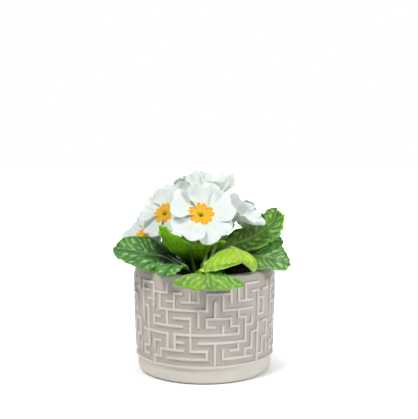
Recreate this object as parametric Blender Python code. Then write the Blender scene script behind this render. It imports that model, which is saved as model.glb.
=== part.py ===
"""A white primrose in full flower in a round pot with a raised maze on its wall.

Lengths are in metres, +Z is up, the front of the pot faces -Y, and the origin is the middle of the pot's
foot. Every leaf, bloom, stalk and bud is its own closed solid, and they stand clear of each other.
"""

import math
import random

import bmesh
import bpy
from mathutils import Vector

MM = 0.001

# Pot: driving dimensions
POT_HEIGHT = 84 * MM
MAZE_RADIUS_TOP = 57.5 * MM
MAZE_RADIUS_FOOT = 56.1 * MM
BASE_RADIUS = 54.2 * MM
BASE_ROUNDING = 4 * MM
INNER_RADIUS = 50.5 * MM
INNER_RADIUS_FLOOR = 49 * MM
FLOOR_THICKNESS = 7 * MM
RIM_ROUNDING = 2.5 * MM
LIP_CHAMFER = 0.8 * MM
BAND_GAP = 0.5 * MM

# Maze: thin raised bars on a grid of columns round the wall and rows up it
MAZE_COLUMNS = 57
TILE_COLUMNS = 19
MAZE_ROWS = 11
MAZE_FOOT = 14 * MM
MAZE_TAPER_HEIGHT = 45 * MM
ROW_PITCH = 6.3 * MM
BAR_WIDTH = 2.2 * MM
BAR_HEIGHT = 1.2 * MM
BAR_DRAFT = 0.25 * MM
COLUMN_ZERO_DEG = -151.4
FLAT_ANGLE_DEG = 1.2

# Bars that run round the wall: row, then the first and last column of each bar
BARS_ROUND = {
    0: [(0, 19)],
    1: [(1, 2), (3, 4), (5, 10), (12, 16), (17, 18)],
    2: [(1, 2), (4, 7), (8, 10), (13, 14), (15, 16)],
    3: [(3, 4), (6, 7), (9, 15), (18, 19)],
    4: [(1, 5), (6, 14), (16, 17)],
    5: [(3, 7), (10, 11), (13, 14), (15, 16), (18, 19)],
    6: [(3, 4), (6, 8), (10, 13), (14, 15), (17, 18)],
    7: [(1, 2), (4, 10), (12, 16)],
    8: [(2, 3), (5, 6), (7, 9), (14, 16), (17, 18)],
    9: [(1, 2), (3, 5), (6, 7), (10, 13), (16, 17), (18, 19)],
    10: [(1, 3), (6, 11), (13, 14), (15, 17)],
}

# Bars that run up the wall: column, then the lowest and highest row of each bar
BARS_UP = {
    0: [(1, 2), (3, 5), (9, 10)],
    1: [(1, 2), (5, 10)],
    2: [(2, 4), (4, 7)],
    3: [(0, 1), (2, 3), (5, 6), (7, 10)],
    4: [(7, 9), (1, 2)],
    5: [(2, 4), (5, 7), (9, 10)],
    6: [(2, 4), (7, 9)],
    8: [(2, 6), (8, 9)],
    9: [(5, 7), (8, 10)],
    10: [(1, 2), (5, 6), (7, 9)],
    11: [(0, 3), (6, 8)],
    12: [(1, 2), (4, 5), (7, 9)],
    13: [(5, 6), (8, 10)],
    14: [(2, 3), (4, 5), (6, 7), (8, 10)],
    15: [(1, 2), (3, 6), (8, 10)],
    16: [(2, 4), (5, 6)],
    17: [(0, 5), (6, 9)],
    18: [(1, 3), (6, 8)],
}

# Soil
SOIL_TOP = 76 * MM
SOIL_GAP = 0.35 * MM
SOIL_LUMP = 1.2 * MM
SOIL_SIDES = 38
SOIL_SEED = 7
LUMPY_RADIUS = 41 * MM
CALM_RADIUS = 31 * MM
FLAT_RADIUS = 21 * MM
HOLE_DEPTH = 8 * MM
HOLE_CLEARANCE = 0.35 * MM
HOLE_SIDES = 7

# Leaves
LEAF_HALF_THICKNESS = 0.35 * MM
PETIOLE_HALF_WIDTH = 1.9 * MM
PETIOLE_HALF_THICKNESS = 1.0 * MM
LEAF_STATIONS = (0.0, 0.15, 0.3, 0.45, 0.6, 0.73, 0.85, 0.94, 1.0)
LEAF_STRIPS = 6
CROSS_STEPS = 12
UPRIGHT_STEM = 2.5 * MM

# Each leaf: the foot of its stem on the soil, then the points that its midrib passes through, up to the tip,
# all in millimetres; half its width in millimetres; its roll about the midrib, in degrees; how steeply its
# halves rise from the midrib and how far its two margins curl up, in radians; the height of its waves as a
# share of the half width, how many there are and where they start; how much like a spoon it is, a higher
# number putting the widest place nearer the tip.
LEAVES = {
    "leaf_front_left": dict(
        foot=(-15, -7), rib=[(-28.5, -13.5, 89), (-43, -29.5, 95.8), (-56, -32.5, 99), (-69.5, -32, 101.5)],
        half_width=16.5, roll=34, fold=0.1, curl=(0.7, -0.3), wave=(0.09, 2.2, 0.4), spoon=1.9),
    "leaf_front_left_low": dict(
        foot=(-13.5, -13), rib=[(-19, -25, 83), (-21, -37.5, 88), (-25.5, -47.5, 90), (-31, -60, 85)],
        half_width=10, roll=8, fold=0.1, curl=(-0.2, -0.2), wave=(0.10, 2.6, 0.9), spoon=1.9),
    "leaf_front_upright": dict(
        foot=(-7, -14), rib=[(-9.5, -22, 92), (-11.5, -30, 101), (-10, -38.5, 107), (-8, -47, 106.5)],
        half_width=28, roll=7, fold=0.1, curl=(0.45, 0.3), wave=(0.05, 1.5, 0.0), spoon=2.8),
    "leaf_front_arch": dict(
        foot=(7, -16), rib=[(11.5, -27.5, 92), (18, -37, 101), (23, -50, 103), (27.5, -61, 96)],
        half_width=31, roll=0, fold=-0.12, curl=(-0.85, -1.8), wave=(0.07, 1.8, 1.2), spoon=4.2),
    "leaf_front_low": dict(
        foot=(-1, -19), rib=[(0, -29.5, 81.5), (0, -46, 84.5), (2, -60, 86), (3.5, -70, 77)],
        half_width=27, roll=0, fold=0.0, curl=(0.1, 0.0), wave=(0.06, 2.0, 2.0), spoon=9.0),
    "leaf_right_tall": dict(
        foot=(15.5, -2), rib=[(19, -3, 96), (38, -7.5, 105.5), (54, -5.5, 117), (59, -6, 129)],
        half_width=16.5, roll=-50, fold=0.05, curl=(0.9, -0.7), wave=(0.06, 2.0, 0.6), spoon=1.9),
    "leaf_right_middle": dict(
        foot=(14, 4), rib=[(27, 4, 86), (42, 5, 95), (55, 6, 101), (64, 6, 101)],
        half_width=14, roll=-30, fold=0.1, curl=(-0.2, 0.1), wave=(0.08, 2.4, 1.6), spoon=1.9),
    "leaf_front_right": dict(
        foot=(13, -8), rib=[(26.5, -10, 87), (41, -18, 92), (58, -28, 91), (66, -29, 88)],
        half_width=16.5, roll=-27, fold=0.1, curl=(-0.3, 0.1), wave=(0.09, 2.6, 0.9), spoon=1.9),
    "leaf_right_far": dict(
        foot=(12, 10), rib=[(28, 15, 84), (44, 19, 91), (58, 22, 94), (66, 22, 92)],
        half_width=12, roll=-20, fold=0.1, curl=(-0.2, 0.2), wave=(0.10, 2.4, 0.2), spoon=1.9),
    "leaf_right_inner": dict(
        foot=(8.3, 3.5), rib=[(18, 7.5, 92), (25.5, 7, 99), (34, 12, 110.5)],
        half_width=10.5, roll=-34, fold=-0.05, curl=(0.1, 0.6), wave=(0.06, 2.0, 0.0), spoon=1.9),
    "leaf_left_middle": dict(
        foot=(-13, 3), rib=[(-26, 7, 86), (-41, 11, 91), (-55, 14, 92), (-65, 15, 87)],
        half_width=16, roll=20, fold=0.1, curl=(-0.2, 0.0), wave=(0.10, 2.4, 0.8), spoon=1.9),
    "leaf_left_back": dict(
        foot=(-10, 11), rib=[(-24, 24, 85), (-40, 37, 92), (-53, 47, 91), (-61, 53, 84)],
        half_width=19, roll=8, fold=0.1, curl=(-0.3, -0.2), wave=(0.10, 2.4, 0.4), spoon=1.9),
    "leaf_back": dict(
        foot=(-1, 17.5), rib=[(-2, 31, 82), (-4, 46, 87), (-5, 60, 88), (-5, 70, 81)],
        half_width=20, roll=0, fold=0.1, curl=(-0.3, -0.3), wave=(0.10, 2.4, 1.4), spoon=1.9),
    "leaf_back_right": dict(
        foot=(7, 15), rib=[(15, 30, 88), (29, 45, 97), (36, 57, 98), (42, 65, 92)],
        half_width=18, roll=-6, fold=0.1, curl=(-0.2, -0.3), wave=(0.10, 2.4, 2.4), spoon=1.9),
    "leaf_back_upright": dict(
        foot=(0, 11.5), rib=[(-1, 21, 94), (-4, 33, 105), (-7, 44, 110), (-8, 53, 108)],
        half_width=17, roll=0, fold=0.15, curl=(0.3, 0.3), wave=(0.08, 2.0, 0.6), spoon=1.9),
}

# Blooms
PETALS = 5
PETAL_STRIPS = 4
PETAL_RINGS = (0.0, 0.34, 0.7, 1.0)
PETAL_HALF_THICKNESS = 0.35 * MM
PETAL_TILT = 1.1 * MM
HUB_RADIUS = 3.2 * MM
TUBE_RADIUS = 1.7 * MM
TUBE_LENGTH = 9 * MM
TUBE_NECK = 2.6 * MM
THROAT_DEPTH = 1.5 * MM
RUFFLE = 1.1 * MM

# Stalks
STALK_RADIUS = 1.1 * MM
STALK_SIDES = 6
STALK_STATIONS = (0, 0.14, 0.25, 0.4, 0.55, 0.7, 0.85, 1.0)
BEND_REACH = 0.35
CALYX_RADIUS = 3.0 * MM
CALYX_LENGTH = 10 * MM
CALYX_SOCKET_DEPTH = 6.5 * MM
COLLAR_DEPTH = 2.9 * MM
TUBE_CLEARANCE = 0.35 * MM
FOOT_CLEARANCE = 0.35 * MM
CURVE_STEPS = 24

# Each bloom: the foot of its stalk and the middle of its face in millimetres, the way it faces, its radius in
# millimetres, the turn of its first petal in degrees, how steeply the petals rise from the middle, and how
# far each petal bends forward on the way out, in radians.
BLOOMS = {
    "bloom_front": dict(
        foot=(-2.5, -6.5), centre=(-2.5, -37, 128.5), facing=(0.12, -0.68, 0.69), radius=27, spin=12,
        cup=0.1, bend=(0.4, 0.8, 0.5, -0.2, -0.2)),
    "bloom_front_left": dict(
        foot=(-6.5, -2.7), centre=(-31.5, -16.5, 127), facing=(-0.49, -0.74, 0.60), radius=22.5, spin=30,
        cup=0.0, bend=(0.1, 0.5, 0.3, 0.0, 0.1)),
    "bloom_far_left": dict(
        foot=(-6.5, 1), centre=(-48.3, -0.7, 107), facing=(-0.60, -0.62, 0.50), radius=21, spin=22,
        cup=0.1, bend=(0.0, 0.0, 0.1, 0.0, 0.0)),
    "bloom_right": dict(
        foot=(4, -2), centre=(24, -10, 122), facing=(0.45, -0.20, 0.81), radius=25, spin=24,
        cup=0.5, bend=(0.2, 0.3, 0.2, 0.3, 0.1)),
    "bloom_top": dict(
        foot=(-1, -2), centre=(5, -3, 139.5), facing=(0.03, -0.21, 0.91), radius=27, spin=72,
        cup=0.55, bend=(0.1, 0.5, 0.2, 0.8, 0.5)),
    "bloom_top_left": dict(
        foot=(-2.5, 1.7), centre=(-22.5, 10.5, 130.5), facing=(-0.32, -0.25, 0.90), radius=24, spin=-4,
        cup=0.5, bend=(0.1, 0.5, 0.5, 0.6, 0.3)),
    "bloom_crest": dict(
        foot=(1.5, 3), centre=(-5, 33, 140), facing=(-0.12, 0.32, 0.95), radius=24, spin=-6,
        cup=0.35, bend=(0.3, 0.5, 0.2, 0.2, 0.3)),
    "bloom_back": dict(
        foot=(-0.5, 6.3), centre=(6, 49, 119), facing=(0.06, 0.82, 0.52), radius=23, spin=18,
        cup=0.05, bend=(0.1, -0.2, -0.3, -0.5, -0.1)),
    "bloom_back_left": dict(
        foot=(-5, 6.5), centre=(-41, 29, 121), facing=(-0.66, 0.59, 0.50), radius=21.5, spin=36,
        cup=0.05, bend=(-0.3, -0.1, -0.1, -0.1, -0.1)),
    "bloom_back_right": dict(
        foot=(3.7, 7.5), centre=(41, 31, 115.5), facing=(0.72, 0.59, 0.49), radius=19.5, spin=0,
        cup=0.05, bend=(-0.2, 0.0, -0.4, 0.3, 0.2)),
}

# Buds: the foot of the stalk, the tip of the closed bud and the way it points
BUDS = {
    "bud_front": dict(foot=(-9.5, -7.5), tip=(-17, -33, 119), facing=(-0.05, -0.50, 0.86)),
}
BUD_RADIUS = 2.3 * MM
BUD_LENGTH = 10 * MM

# Profiles of the calyx and the bud: share of the length, and radius as a share of the widest
CALYX_PROFILE = ((0.2, 0.75), (0.55, 1.0), (1.0, 0.92))
BUD_PROFILE = ((0.15, 0.8), (0.45, 1.0), (0.8, 0.7), (1.0, 0.25))


def clear_scene():
    for obj in list(bpy.data.objects):
        bpy.data.objects.remove(obj, do_unlink=True)


def finish_material(name, colour, roughness):
    material = bpy.data.materials.new(name)
    material.use_nodes = True
    shader = material.node_tree.nodes["Principled BSDF"]
    shader.inputs["Base Color"].default_value = (*colour, 1.0)
    shader.inputs["Roughness"].default_value = roughness
    shader.inputs["Metallic"].default_value = 0.0
    return material


def object_from(name, bm, material):
    mesh = bpy.data.meshes.new(name)
    bm.to_mesh(mesh)
    bm.free()
    obj = bpy.data.objects.new(name, mesh)
    bpy.context.scene.collection.objects.link(obj)
    mesh.materials.append(material)
    return obj


def smooth_step(low, high, x):
    x = min(1.0, max(0.0, (x - low) / (high - low)))
    return x * x * (3 - 2 * x)


# Pot


def wall_radius(z):
    """Radius of the bars' outer faces at height z: the wall widens upwards and is straight near the top."""
    share = min(1.0, max(0.0, (z - MAZE_FOOT) / MAZE_TAPER_HEIGHT))
    return MAZE_RADIUS_FOOT + (MAZE_RADIUS_TOP - MAZE_RADIUS_FOOT) * share


def raised_cells():
    """Cells of the maze that stand proud, as (band, strip). Even ones lie on grid lines, odd ones between."""
    cells = set()
    for tile in range(0, MAZE_COLUMNS, TILE_COLUMNS):
        for row, bars in BARS_ROUND.items():
            for first, last in bars:
                for strip in range(2 * (tile + first), 2 * (tile + last) + 1):
                    cells.add((2 * row, strip % (2 * MAZE_COLUMNS)))
        for column, bars in BARS_UP.items():
            for low, high in bars:
                for band in range(2 * low, 2 * high + 1):
                    cells.add((band, 2 * (tile + column)))
    return cells


def pot(material):
    """The pot, with the bars of the maze raised from its wall. Each column of the maze is one flat facet."""
    bm = bmesh.new()
    strips = 2 * MAZE_COLUMNS
    bands = 2 * MAZE_ROWS - 1
    pitch = 2 * math.pi / MAZE_COLUMNS
    raised = raised_cells()

    def spot(line, level, radius, z):
        """A point on a line of the facets; an odd line lies on the flat between its two neighbours."""
        column, side = divmod(line, 2)
        middle = math.radians(COLUMN_ZERO_DEG) + pitch * column
        spread = (BAR_WIDTH / 2 - BAR_DRAFT * level) / MAZE_RADIUS_TOP
        a = middle - spread
        if side:
            a = middle + spread
            radius *= math.cos(pitch / 2) / math.cos(2 * spread - pitch / 2)
        return radius * math.cos(a), radius * math.sin(a), z

    corners = {}

    def corner(line, strip_line, level):
        key = (line, strip_line % strips, level)
        if key not in corners:
            row, side = divmod(line, 2)
            spread = BAR_WIDTH / 2 - BAR_DRAFT * level
            z = MAZE_FOOT + ROW_PITCH * row + (spread if side else -spread)
            r = wall_radius(z) - (0 if level else BAR_HEIGHT)
            corners[key] = bm.verts.new(spot(strip_line % strips, level, r, z))
        return corners[key]

    for band in range(bands):
        for strip in range(strips):
            level = 1 if (band, strip) in raised else 0
            bm.faces.new((
                corner(band, strip, level), corner(band, strip + 1, level),
                corner(band + 1, strip + 1, level), corner(band + 1, strip, level)))
            beside = 1 if (band, (strip + 1) % strips) in raised else 0
            if level != beside:
                inner = (corner(band, strip + 1, 0), corner(band + 1, strip + 1, 0))
                outer = (corner(band, strip + 1, 1), corner(band + 1, strip + 1, 1))
                loop = (outer[0], inner[0], inner[1], outer[1])
                bm.faces.new(loop if level else loop[::-1])
    for line in range(bands + 1):
        for strip in range(strips):
            below = 1 if (line - 1, strip) in raised else 0
            above = 1 if (line, strip) in raised else 0
            if below != above:
                inner = (corner(line, strip, 0), corner(line, strip + 1, 0))
                outer = (corner(line, strip, 1), corner(line, strip + 1, 1))
                loop = (outer[0], outer[1], inner[1], inner[0])
                bm.faces.new(loop if below else loop[::-1])

    def ring(radius, z):
        return [bm.verts.new(spot(s, 0, radius, z)) for s in range(strips)]

    def skirt(low, high):
        for s in range(strips):
            t = (s + 1) % strips
            bm.faces.new((low[s], low[t], high[t], high[s]))

    cut = 1 - math.sqrt(0.5)
    foot = ring(BASE_RADIUS - BASE_ROUNDING, 0)
    rounding = ring(BASE_RADIUS - BASE_ROUNDING * cut, BASE_ROUNDING * cut)
    band_low = ring(BASE_RADIUS, BASE_ROUNDING)
    band_high = ring(BASE_RADIUS, MAZE_FOOT - BAR_WIDTH / 2 - BAND_GAP)
    maze_low = [corner(0, s, 0) for s in range(strips)]
    maze_high = [corner(bands, s, 0) for s in range(strips)]
    rim_radius = MAZE_RADIUS_TOP - BAR_HEIGHT
    rim_side = ring(rim_radius, POT_HEIGHT - RIM_ROUNDING)
    rim_shoulder = ring(rim_radius - RIM_ROUNDING * cut, POT_HEIGHT - RIM_ROUNDING * cut)
    rim_top = ring(rim_radius - RIM_ROUNDING, POT_HEIGHT)
    lip = ring(INNER_RADIUS + LIP_CHAMFER, POT_HEIGHT)
    mouth = ring(INNER_RADIUS, POT_HEIGHT - LIP_CHAMFER)
    bottom = ring(INNER_RADIUS_FLOOR, FLOOR_THICKNESS)
    bm.faces.new(foot[::-1])
    bm.faces.new(bottom)
    lower = (foot, rounding, band_low, band_high, maze_low)
    upper = (maze_high, rim_side, rim_shoulder, rim_top, lip, mouth, bottom)
    for rings in (lower, upper):
        for low, high in zip(rings, rings[1:]):
            skirt(low, high)
    bm.normal_update()
    bmesh.ops.dissolve_limit(bm, angle_limit=math.radians(FLAT_ANGLE_DEG), verts=bm.verts, edges=bm.edges)
    bmesh.ops.triangulate(bm, faces=bm.faces)
    return object_from("pot", bm, material)


# Soil


def hole_cutter(x, y, radius, low, high):
    """A prism whose flats stand at the given radius."""
    bm = bmesh.new()
    corner = radius / math.cos(math.pi / HOLE_SIDES)
    bmesh.ops.create_cone(
        bm, cap_ends=True, segments=HOLE_SIDES, radius1=corner, radius2=corner, depth=high - low)
    bmesh.ops.translate(bm, vec=(x, y, (low + high) / 2), verts=bm.verts)
    return bm


def soil(material):
    """Potting soil filling the pot, with an uneven top and a round hole for every stalk."""
    rng = random.Random(SOIL_SEED)
    bm = bmesh.new()
    floor = FLOOR_THICKNESS + SOIL_GAP

    def inside(z):
        share = (z - FLOOR_THICKNESS) / (POT_HEIGHT - LIP_CHAMFER - FLOOR_THICKNESS)
        r = INNER_RADIUS_FLOOR + (INNER_RADIUS - INNER_RADIUS_FLOOR) * share
        return r * math.cos(math.pi / MAZE_COLUMNS) - SOIL_GAP

    def ring(radius, heights):
        turn = 2 * math.pi / len(heights)
        return [bm.verts.new((radius * math.cos(turn * k), radius * math.sin(turn * k), z))
                for k, z in enumerate(heights)]

    def lumps(n, size):
        return [SOIL_TOP + size * rng.uniform(-1, 1) for _ in range(n)]

    low = ring(inside(floor), [floor] * SOIL_SIDES)
    edge = ring(inside(SOIL_TOP), lumps(SOIL_SIDES, 0.3 * SOIL_LUMP))
    outer = ring(LUMPY_RADIUS, lumps(SOIL_SIDES, SOIL_LUMP))
    middle = ring(CALM_RADIUS, lumps(SOIL_SIDES // 2, SOIL_LUMP))
    flat = ring(FLAT_RADIUS, [SOIL_TOP] * (SOIL_SIDES // 2))
    n = SOIL_SIDES
    bm.faces.new(low[::-1])
    bm.faces.new(flat)
    for s in range(n):
        t = (s + 1) % n
        bm.faces.new((low[s], low[t], edge[t], edge[s]))
        bm.faces.new((edge[s], edge[t], outer[t], outer[s]))
    for s in range(n // 2):
        t = (s + 1) % (n // 2)
        bm.faces.new((outer[2 * s], outer[2 * s + 1], middle[s]))
        bm.faces.new((outer[2 * s + 1], outer[(2 * s + 2) % n], middle[t], middle[s]))
        bm.faces.new((middle[s], middle[t], flat[t], flat[s]))
    bmesh.ops.triangulate(bm, faces=bm.faces)
    body = object_from("soil", bm, material)
    half_diagonal = math.hypot(PETIOLE_HALF_WIDTH, PETIOLE_HALF_THICKNESS)
    holes = [(leaf["foot"], half_diagonal) for leaf in LEAVES.values()]
    holes += [(flower["foot"], STALK_RADIUS) for flower in (*BLOOMS.values(), *BUDS.values())]
    cutters = bpy.data.collections.new("holes")
    bpy.context.scene.collection.children.link(cutters)
    for (x, y), radius in holes:
        bm = hole_cutter(x * MM, y * MM, radius + HOLE_CLEARANCE, SOIL_TOP - HOLE_DEPTH, POT_HEIGHT)
        mesh = bpy.data.meshes.new("hole")
        bm.to_mesh(mesh)
        bm.free()
        cutters.objects.link(bpy.data.objects.new("hole", mesh))
    cut = body.modifiers.new("holes", "BOOLEAN")
    cut.operation = "DIFFERENCE"
    cut.operand_type = "COLLECTION"
    cut.collection = cutters
    cut.solver = "EXACT"
    graph = bpy.context.evaluated_depsgraph_get()
    solid = bpy.data.meshes.new_from_object(body.evaluated_get(graph))
    body.modifiers.clear()
    body.data = solid
    for obj in list(cutters.objects):
        bpy.data.objects.remove(obj, do_unlink=True)
    bpy.data.collections.remove(cutters)
    return body


# Curves


def resample(points, fractions):
    """Points at the given shares of the length of a smooth curve through the given points."""
    ends = [points[0] * 2 - points[1], *points, points[-1] * 2 - points[-2]]
    dense = [points[0]]
    for a, b, c, d in zip(ends, ends[1:], ends[2:], ends[3:]):
        for k in range(1, CURVE_STEPS + 1):
            t = k / CURVE_STEPS
            dense.append(0.5 * ((2 * b) + (c - a) * t + (2 * a - 5 * b + 4 * c - d) * t * t
                                + (3 * b - a - 3 * c + d) * t * t * t))
    lengths = [0.0]
    for a, b in zip(dense, dense[1:]):
        lengths.append(lengths[-1] + (b - a).length)
    found = []
    for fraction in fractions:
        wanted = fraction * lengths[-1]
        k = 1
        while k < len(lengths) - 1 and lengths[k] < wanted:
            k += 1
        share = (wanted - lengths[k - 1]) / (lengths[k] - lengths[k - 1])
        found.append(dense[k - 1].lerp(dense[k], share))
    return found, lengths[-1]


def carried_frames(points, normal):
    """Tangent, side and normal at each point, the normal carried along without twisting."""
    tangents = []
    for k in range(len(points)):
        tangents.append((points[min(k + 1, len(points) - 1)] - points[max(k - 1, 0)]).normalized())
    frames = []
    previous = tangents[0]
    normal = (normal - previous * normal.dot(previous)).normalized()
    for tangent in tangents:
        normal = previous.rotation_difference(tangent) @ normal
        normal = (normal - tangent * normal.dot(tangent)).normalized()
        frames.append((tangent, tangent.cross(normal), normal))
        previous = tangent
    return frames


# Leaves


def leaf_width(t, spoon):
    """Half width of the blade at share t of its length, as a share of the widest half width."""
    return 0.09 + 0.91 * max(0.0, math.sin(math.pi * t ** spoon)) ** 0.65


def leaf_surface(leaf, stations, strips):
    """Rows of points on the leaf's middle surface, from stem foot to tip, and half the thickness at each."""
    x, y = leaf["foot"]
    low = SOIL_TOP - HOLE_DEPTH + FOOT_CLEARANCE
    foot = [Vector((x, y, low / MM)), Vector((x, y, (SOIL_TOP + UPRIGHT_STEM) / MM))]
    path = foot + [Vector(point) for point in leaf["rib"]]
    _, length = resample(path, [1.0])
    start = (foot[1] - foot[0]).length / length
    fractions = [0.0] + [start + (1 - start) * t for t in stations]
    ribs, _ = resample(path, fractions)
    out = Vector((path[-1].x - x, path[-1].y - y, 0)).normalized()
    frames = carried_frames(ribs, -out)
    waves, count, phase = leaf["wave"]
    rows = []
    thickness = []
    for index, (rib, (_, side, normal)) in enumerate(zip(ribs, frames)):
        t = stations[max(0, index - 1)]
        opened = smooth_step(0.0, 0.45, t)
        petiole = PETIOLE_HALF_WIDTH / MM
        width = leaf_width(t, leaf["spoon"]) * smooth_step(-0.25, 0.4, t)
        width = petiole + (leaf["half_width"] - petiole) * width
        if index < 2:
            width = petiole
        roll = math.radians(leaf["roll"]) * opened
        across = side * math.cos(roll) + normal * math.sin(roll)
        up = normal * math.cos(roll) - side * math.sin(roll)
        row = []
        for k in range(strips + 1):
            u = 2 * k / strips - 1
            curl = leaf["curl"][0 if u > 0 else 1] * opened
            lateral = 0.0
            lift = 0.0
            for step in range(CROSS_STEPS):
                angle = leaf["fold"] * opened + curl * ((step + 0.5) / CROSS_STEPS * abs(u)) ** 1.5
                lateral += abs(u) / CROSS_STEPS * math.cos(angle)
                lift += abs(u) / CROSS_STEPS * math.sin(angle)
            turn = 2 * math.pi * (count * t + 0.37 * (u < 0)) + phase
            lift += waves * abs(u) ** 1.5 * math.sin(turn) * opened
            row.append((rib + (across * math.copysign(lateral, u) + up * lift) * width) * MM)
        rows.append(row)
        share = smooth_step(0.0, 0.35, t)
        thickness.append([PETIOLE_HALF_THICKNESS * (1 - share) + LEAF_HALF_THICKNESS * share] * (strips + 1))
    return rows, thickness


def sheet_solid(rows, thickness):
    """A closed solid round a grid of points, as thick to both sides and split alike on both."""
    bm = bmesh.new()
    top = []
    low = []
    count = len(rows)
    width = len(rows[0])
    for i, row in enumerate(rows):
        top.append([])
        low.append([])
        for k, point in enumerate(row):
            along = rows[min(i + 1, count - 1)][k] - rows[max(i - 1, 0)][k]
            across = row[min(k + 1, width - 1)] - row[max(k - 1, 0)]
            normal = along.cross(across).normalized() * thickness[i][k]
            top[i].append(bm.verts.new(point + normal))
            low[i].append(bm.verts.new(point - normal))
    for i in range(count - 1):
        for k in range(width - 1):
            for layer, flip in ((top, False), (low, True)):
                a, b, c, d = layer[i][k], layer[i + 1][k], layer[i + 1][k + 1], layer[i][k + 1]
                pair = ((a, b, c), (a, c, d)) if (i + k) % 2 else ((a, b, d), (b, c, d))
                for face in pair:
                    bm.faces.new(face[::-1] if flip else face)
    for i in range(count - 1):
        for k, turn in ((0, False), (width - 1, True)):
            loop = (top[i][k], low[i][k], low[i + 1][k], top[i + 1][k])
            bm.faces.new(loop[::-1] if turn else loop)
    for k in range(width - 1):
        for i, turn in ((0, True), (count - 1, False)):
            loop = (top[i][k], low[i][k], low[i][k + 1], top[i][k + 1])
            bm.faces.new(loop[::-1] if turn else loop)
    bmesh.ops.triangulate(bm, faces=[face for face in bm.faces if len(face.verts) > 3])
    bmesh.ops.recalc_face_normals(bm, faces=bm.faces)
    return bm


def leaf_solid(name, material):
    rows, thickness = leaf_surface(LEAVES[name], LEAF_STATIONS, LEAF_STRIPS)
    return object_from(name, sheet_solid(rows, thickness), material)


# Blooms


def bloom_axes(bloom):
    """The way the bloom faces and two directions across its face."""
    facing = Vector(bloom["facing"]).normalized()
    right = Vector((0, 0, 1)).cross(facing)
    right = right.normalized() if right.length > 0.05 else Vector((1, 0, 0))
    return facing, right, facing.cross(right)


def petal_span(v):
    """Half the angle that a petal takes at share v of its length, in degrees."""
    return 36 - 1.5 * smooth_step(0.0, 0.3, v) + 10 * smooth_step(0.34, 0.7, v) - 3 * smooth_step(0.7, 1.0, v)


def petal_point(bloom, petal, u, v):
    """A point of the petal's middle surface in the bloom's own axes: across, up the face, and forward."""
    radius = bloom["radius"]
    hub = HUB_RADIUS / MM
    length = radius * (1 - 0.16 * u ** 4 - 0.10 * math.exp(-(u / 0.2) ** 2)) - hub
    theta = math.radians(bloom["spin"] + 360 / PETALS * petal + u * petal_span(v))
    opened = smooth_step(0.0, 0.4, v)
    cup = bloom["cup"]
    bend = bloom["bend"][petal] or 1e-4
    steep = cup + bend * v
    out = length * (math.sin(steep) - math.sin(cup)) / bend
    rise = length * (math.cos(cup) - math.cos(steep)) / bend
    lift = PETAL_TILT / MM * u * opened
    lift += RUFFLE / MM * v * v * math.sin(3 * theta + 2.2 * petal)
    r = hub + out - lift * math.sin(steep)
    return r * math.cos(theta), r * math.sin(theta), rise + lift * math.cos(steep)


def bloom_solid(name, material):
    """The white flower: five petals round a hub, with a short tube behind that stands in the calyx."""
    bloom = BLOOMS[name]
    facing, right, upward = bloom_axes(bloom)
    centre = Vector(bloom["centre"]) * MM
    bm = bmesh.new()

    def place(x, y, z):
        return bm.verts.new(centre + (right * x + upward * y + facing * z) * MM)

    n = PETALS * PETAL_STRIPS
    half = PETAL_HALF_THICKNESS / MM
    hub_top = []
    hub_low = []
    for k in range(n):
        petal, strip = divmod(k, PETAL_STRIPS)
        x, y, z = petal_point(bloom, petal, 2 * strip / PETAL_STRIPS - 1, 0.0)
        hub_top.append(place(x, y, z + half))
        hub_low.append(place(x, y, z - half))
    for petal in range(PETALS):
        grid = [[Vector(petal_point(bloom, petal, 2 * k / PETAL_STRIPS - 1, v))
                 for k in range(PETAL_STRIPS + 1)] for v in PETAL_RINGS]
        top = [[hub_top[(petal * PETAL_STRIPS + k) % n] for k in range(PETAL_STRIPS + 1)]]
        low = [[hub_low[(petal * PETAL_STRIPS + k) % n] for k in range(PETAL_STRIPS + 1)]]
        for i in range(1, len(grid)):
            top.append([])
            low.append([])
            for k, point in enumerate(grid[i]):
                along = grid[min(i + 1, len(grid) - 1)][k] - grid[i - 1][k]
                across = grid[i][min(k + 1, PETAL_STRIPS)] - grid[i][max(k - 1, 0)]
                normal = along.cross(across).normalized() * half
                top[i].append(place(*(point + normal)))
                low[i].append(place(*(point - normal)))
        for i in range(len(grid) - 1):
            for k in range(PETAL_STRIPS):
                for layer, flip in ((top, False), (low, True)):
                    a, b, c, d = layer[i][k], layer[i + 1][k], layer[i + 1][k + 1], layer[i][k + 1]
                    pair = ((a, b, c), (a, c, d)) if k % 2 else ((a, b, d), (b, c, d))
                    for face in pair:
                        bm.faces.new(face[::-1] if flip else face)
            for k, turn in ((0, False), (PETAL_STRIPS, True)):
                loop = (top[i][k], low[i][k], low[i + 1][k], top[i + 1][k])
                bm.faces.new(loop[::-1] if turn else loop)
        for k in range(PETAL_STRIPS):
            bm.faces.new((top[-1][k], low[-1][k], low[-1][k + 1], top[-1][k + 1]))
    throat = place(0, 0, -THROAT_DEPTH / MM)
    tube = []
    for depth in (TUBE_NECK / MM, TUBE_LENGTH / MM):
        tube.append([])
        for k in range(n):
            petal, strip = divmod(k, PETAL_STRIPS)
            x, y, _ = petal_point(bloom, petal, 2 * strip / PETAL_STRIPS - 1, 0.0)
            scale = TUBE_RADIUS / MM / math.hypot(x, y)
            tube[-1].append(place(x * scale, y * scale, -depth))
    for k in range(n):
        t = (k + 1) % n
        bm.faces.new((hub_top[k], hub_top[t], throat))
        bm.faces.new((hub_low[k], tube[0][k], tube[0][t], hub_low[t]))
        bm.faces.new((tube[0][k], tube[1][k], tube[1][t], tube[0][t]))
    bm.faces.new(tube[1][::-1])
    bmesh.ops.triangulate(bm, faces=[face for face in bm.faces if len(face.verts) > 3])
    bmesh.ops.recalc_face_normals(bm, faces=bm.faces)
    return object_from(name, bm, material)


# Stalks


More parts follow.
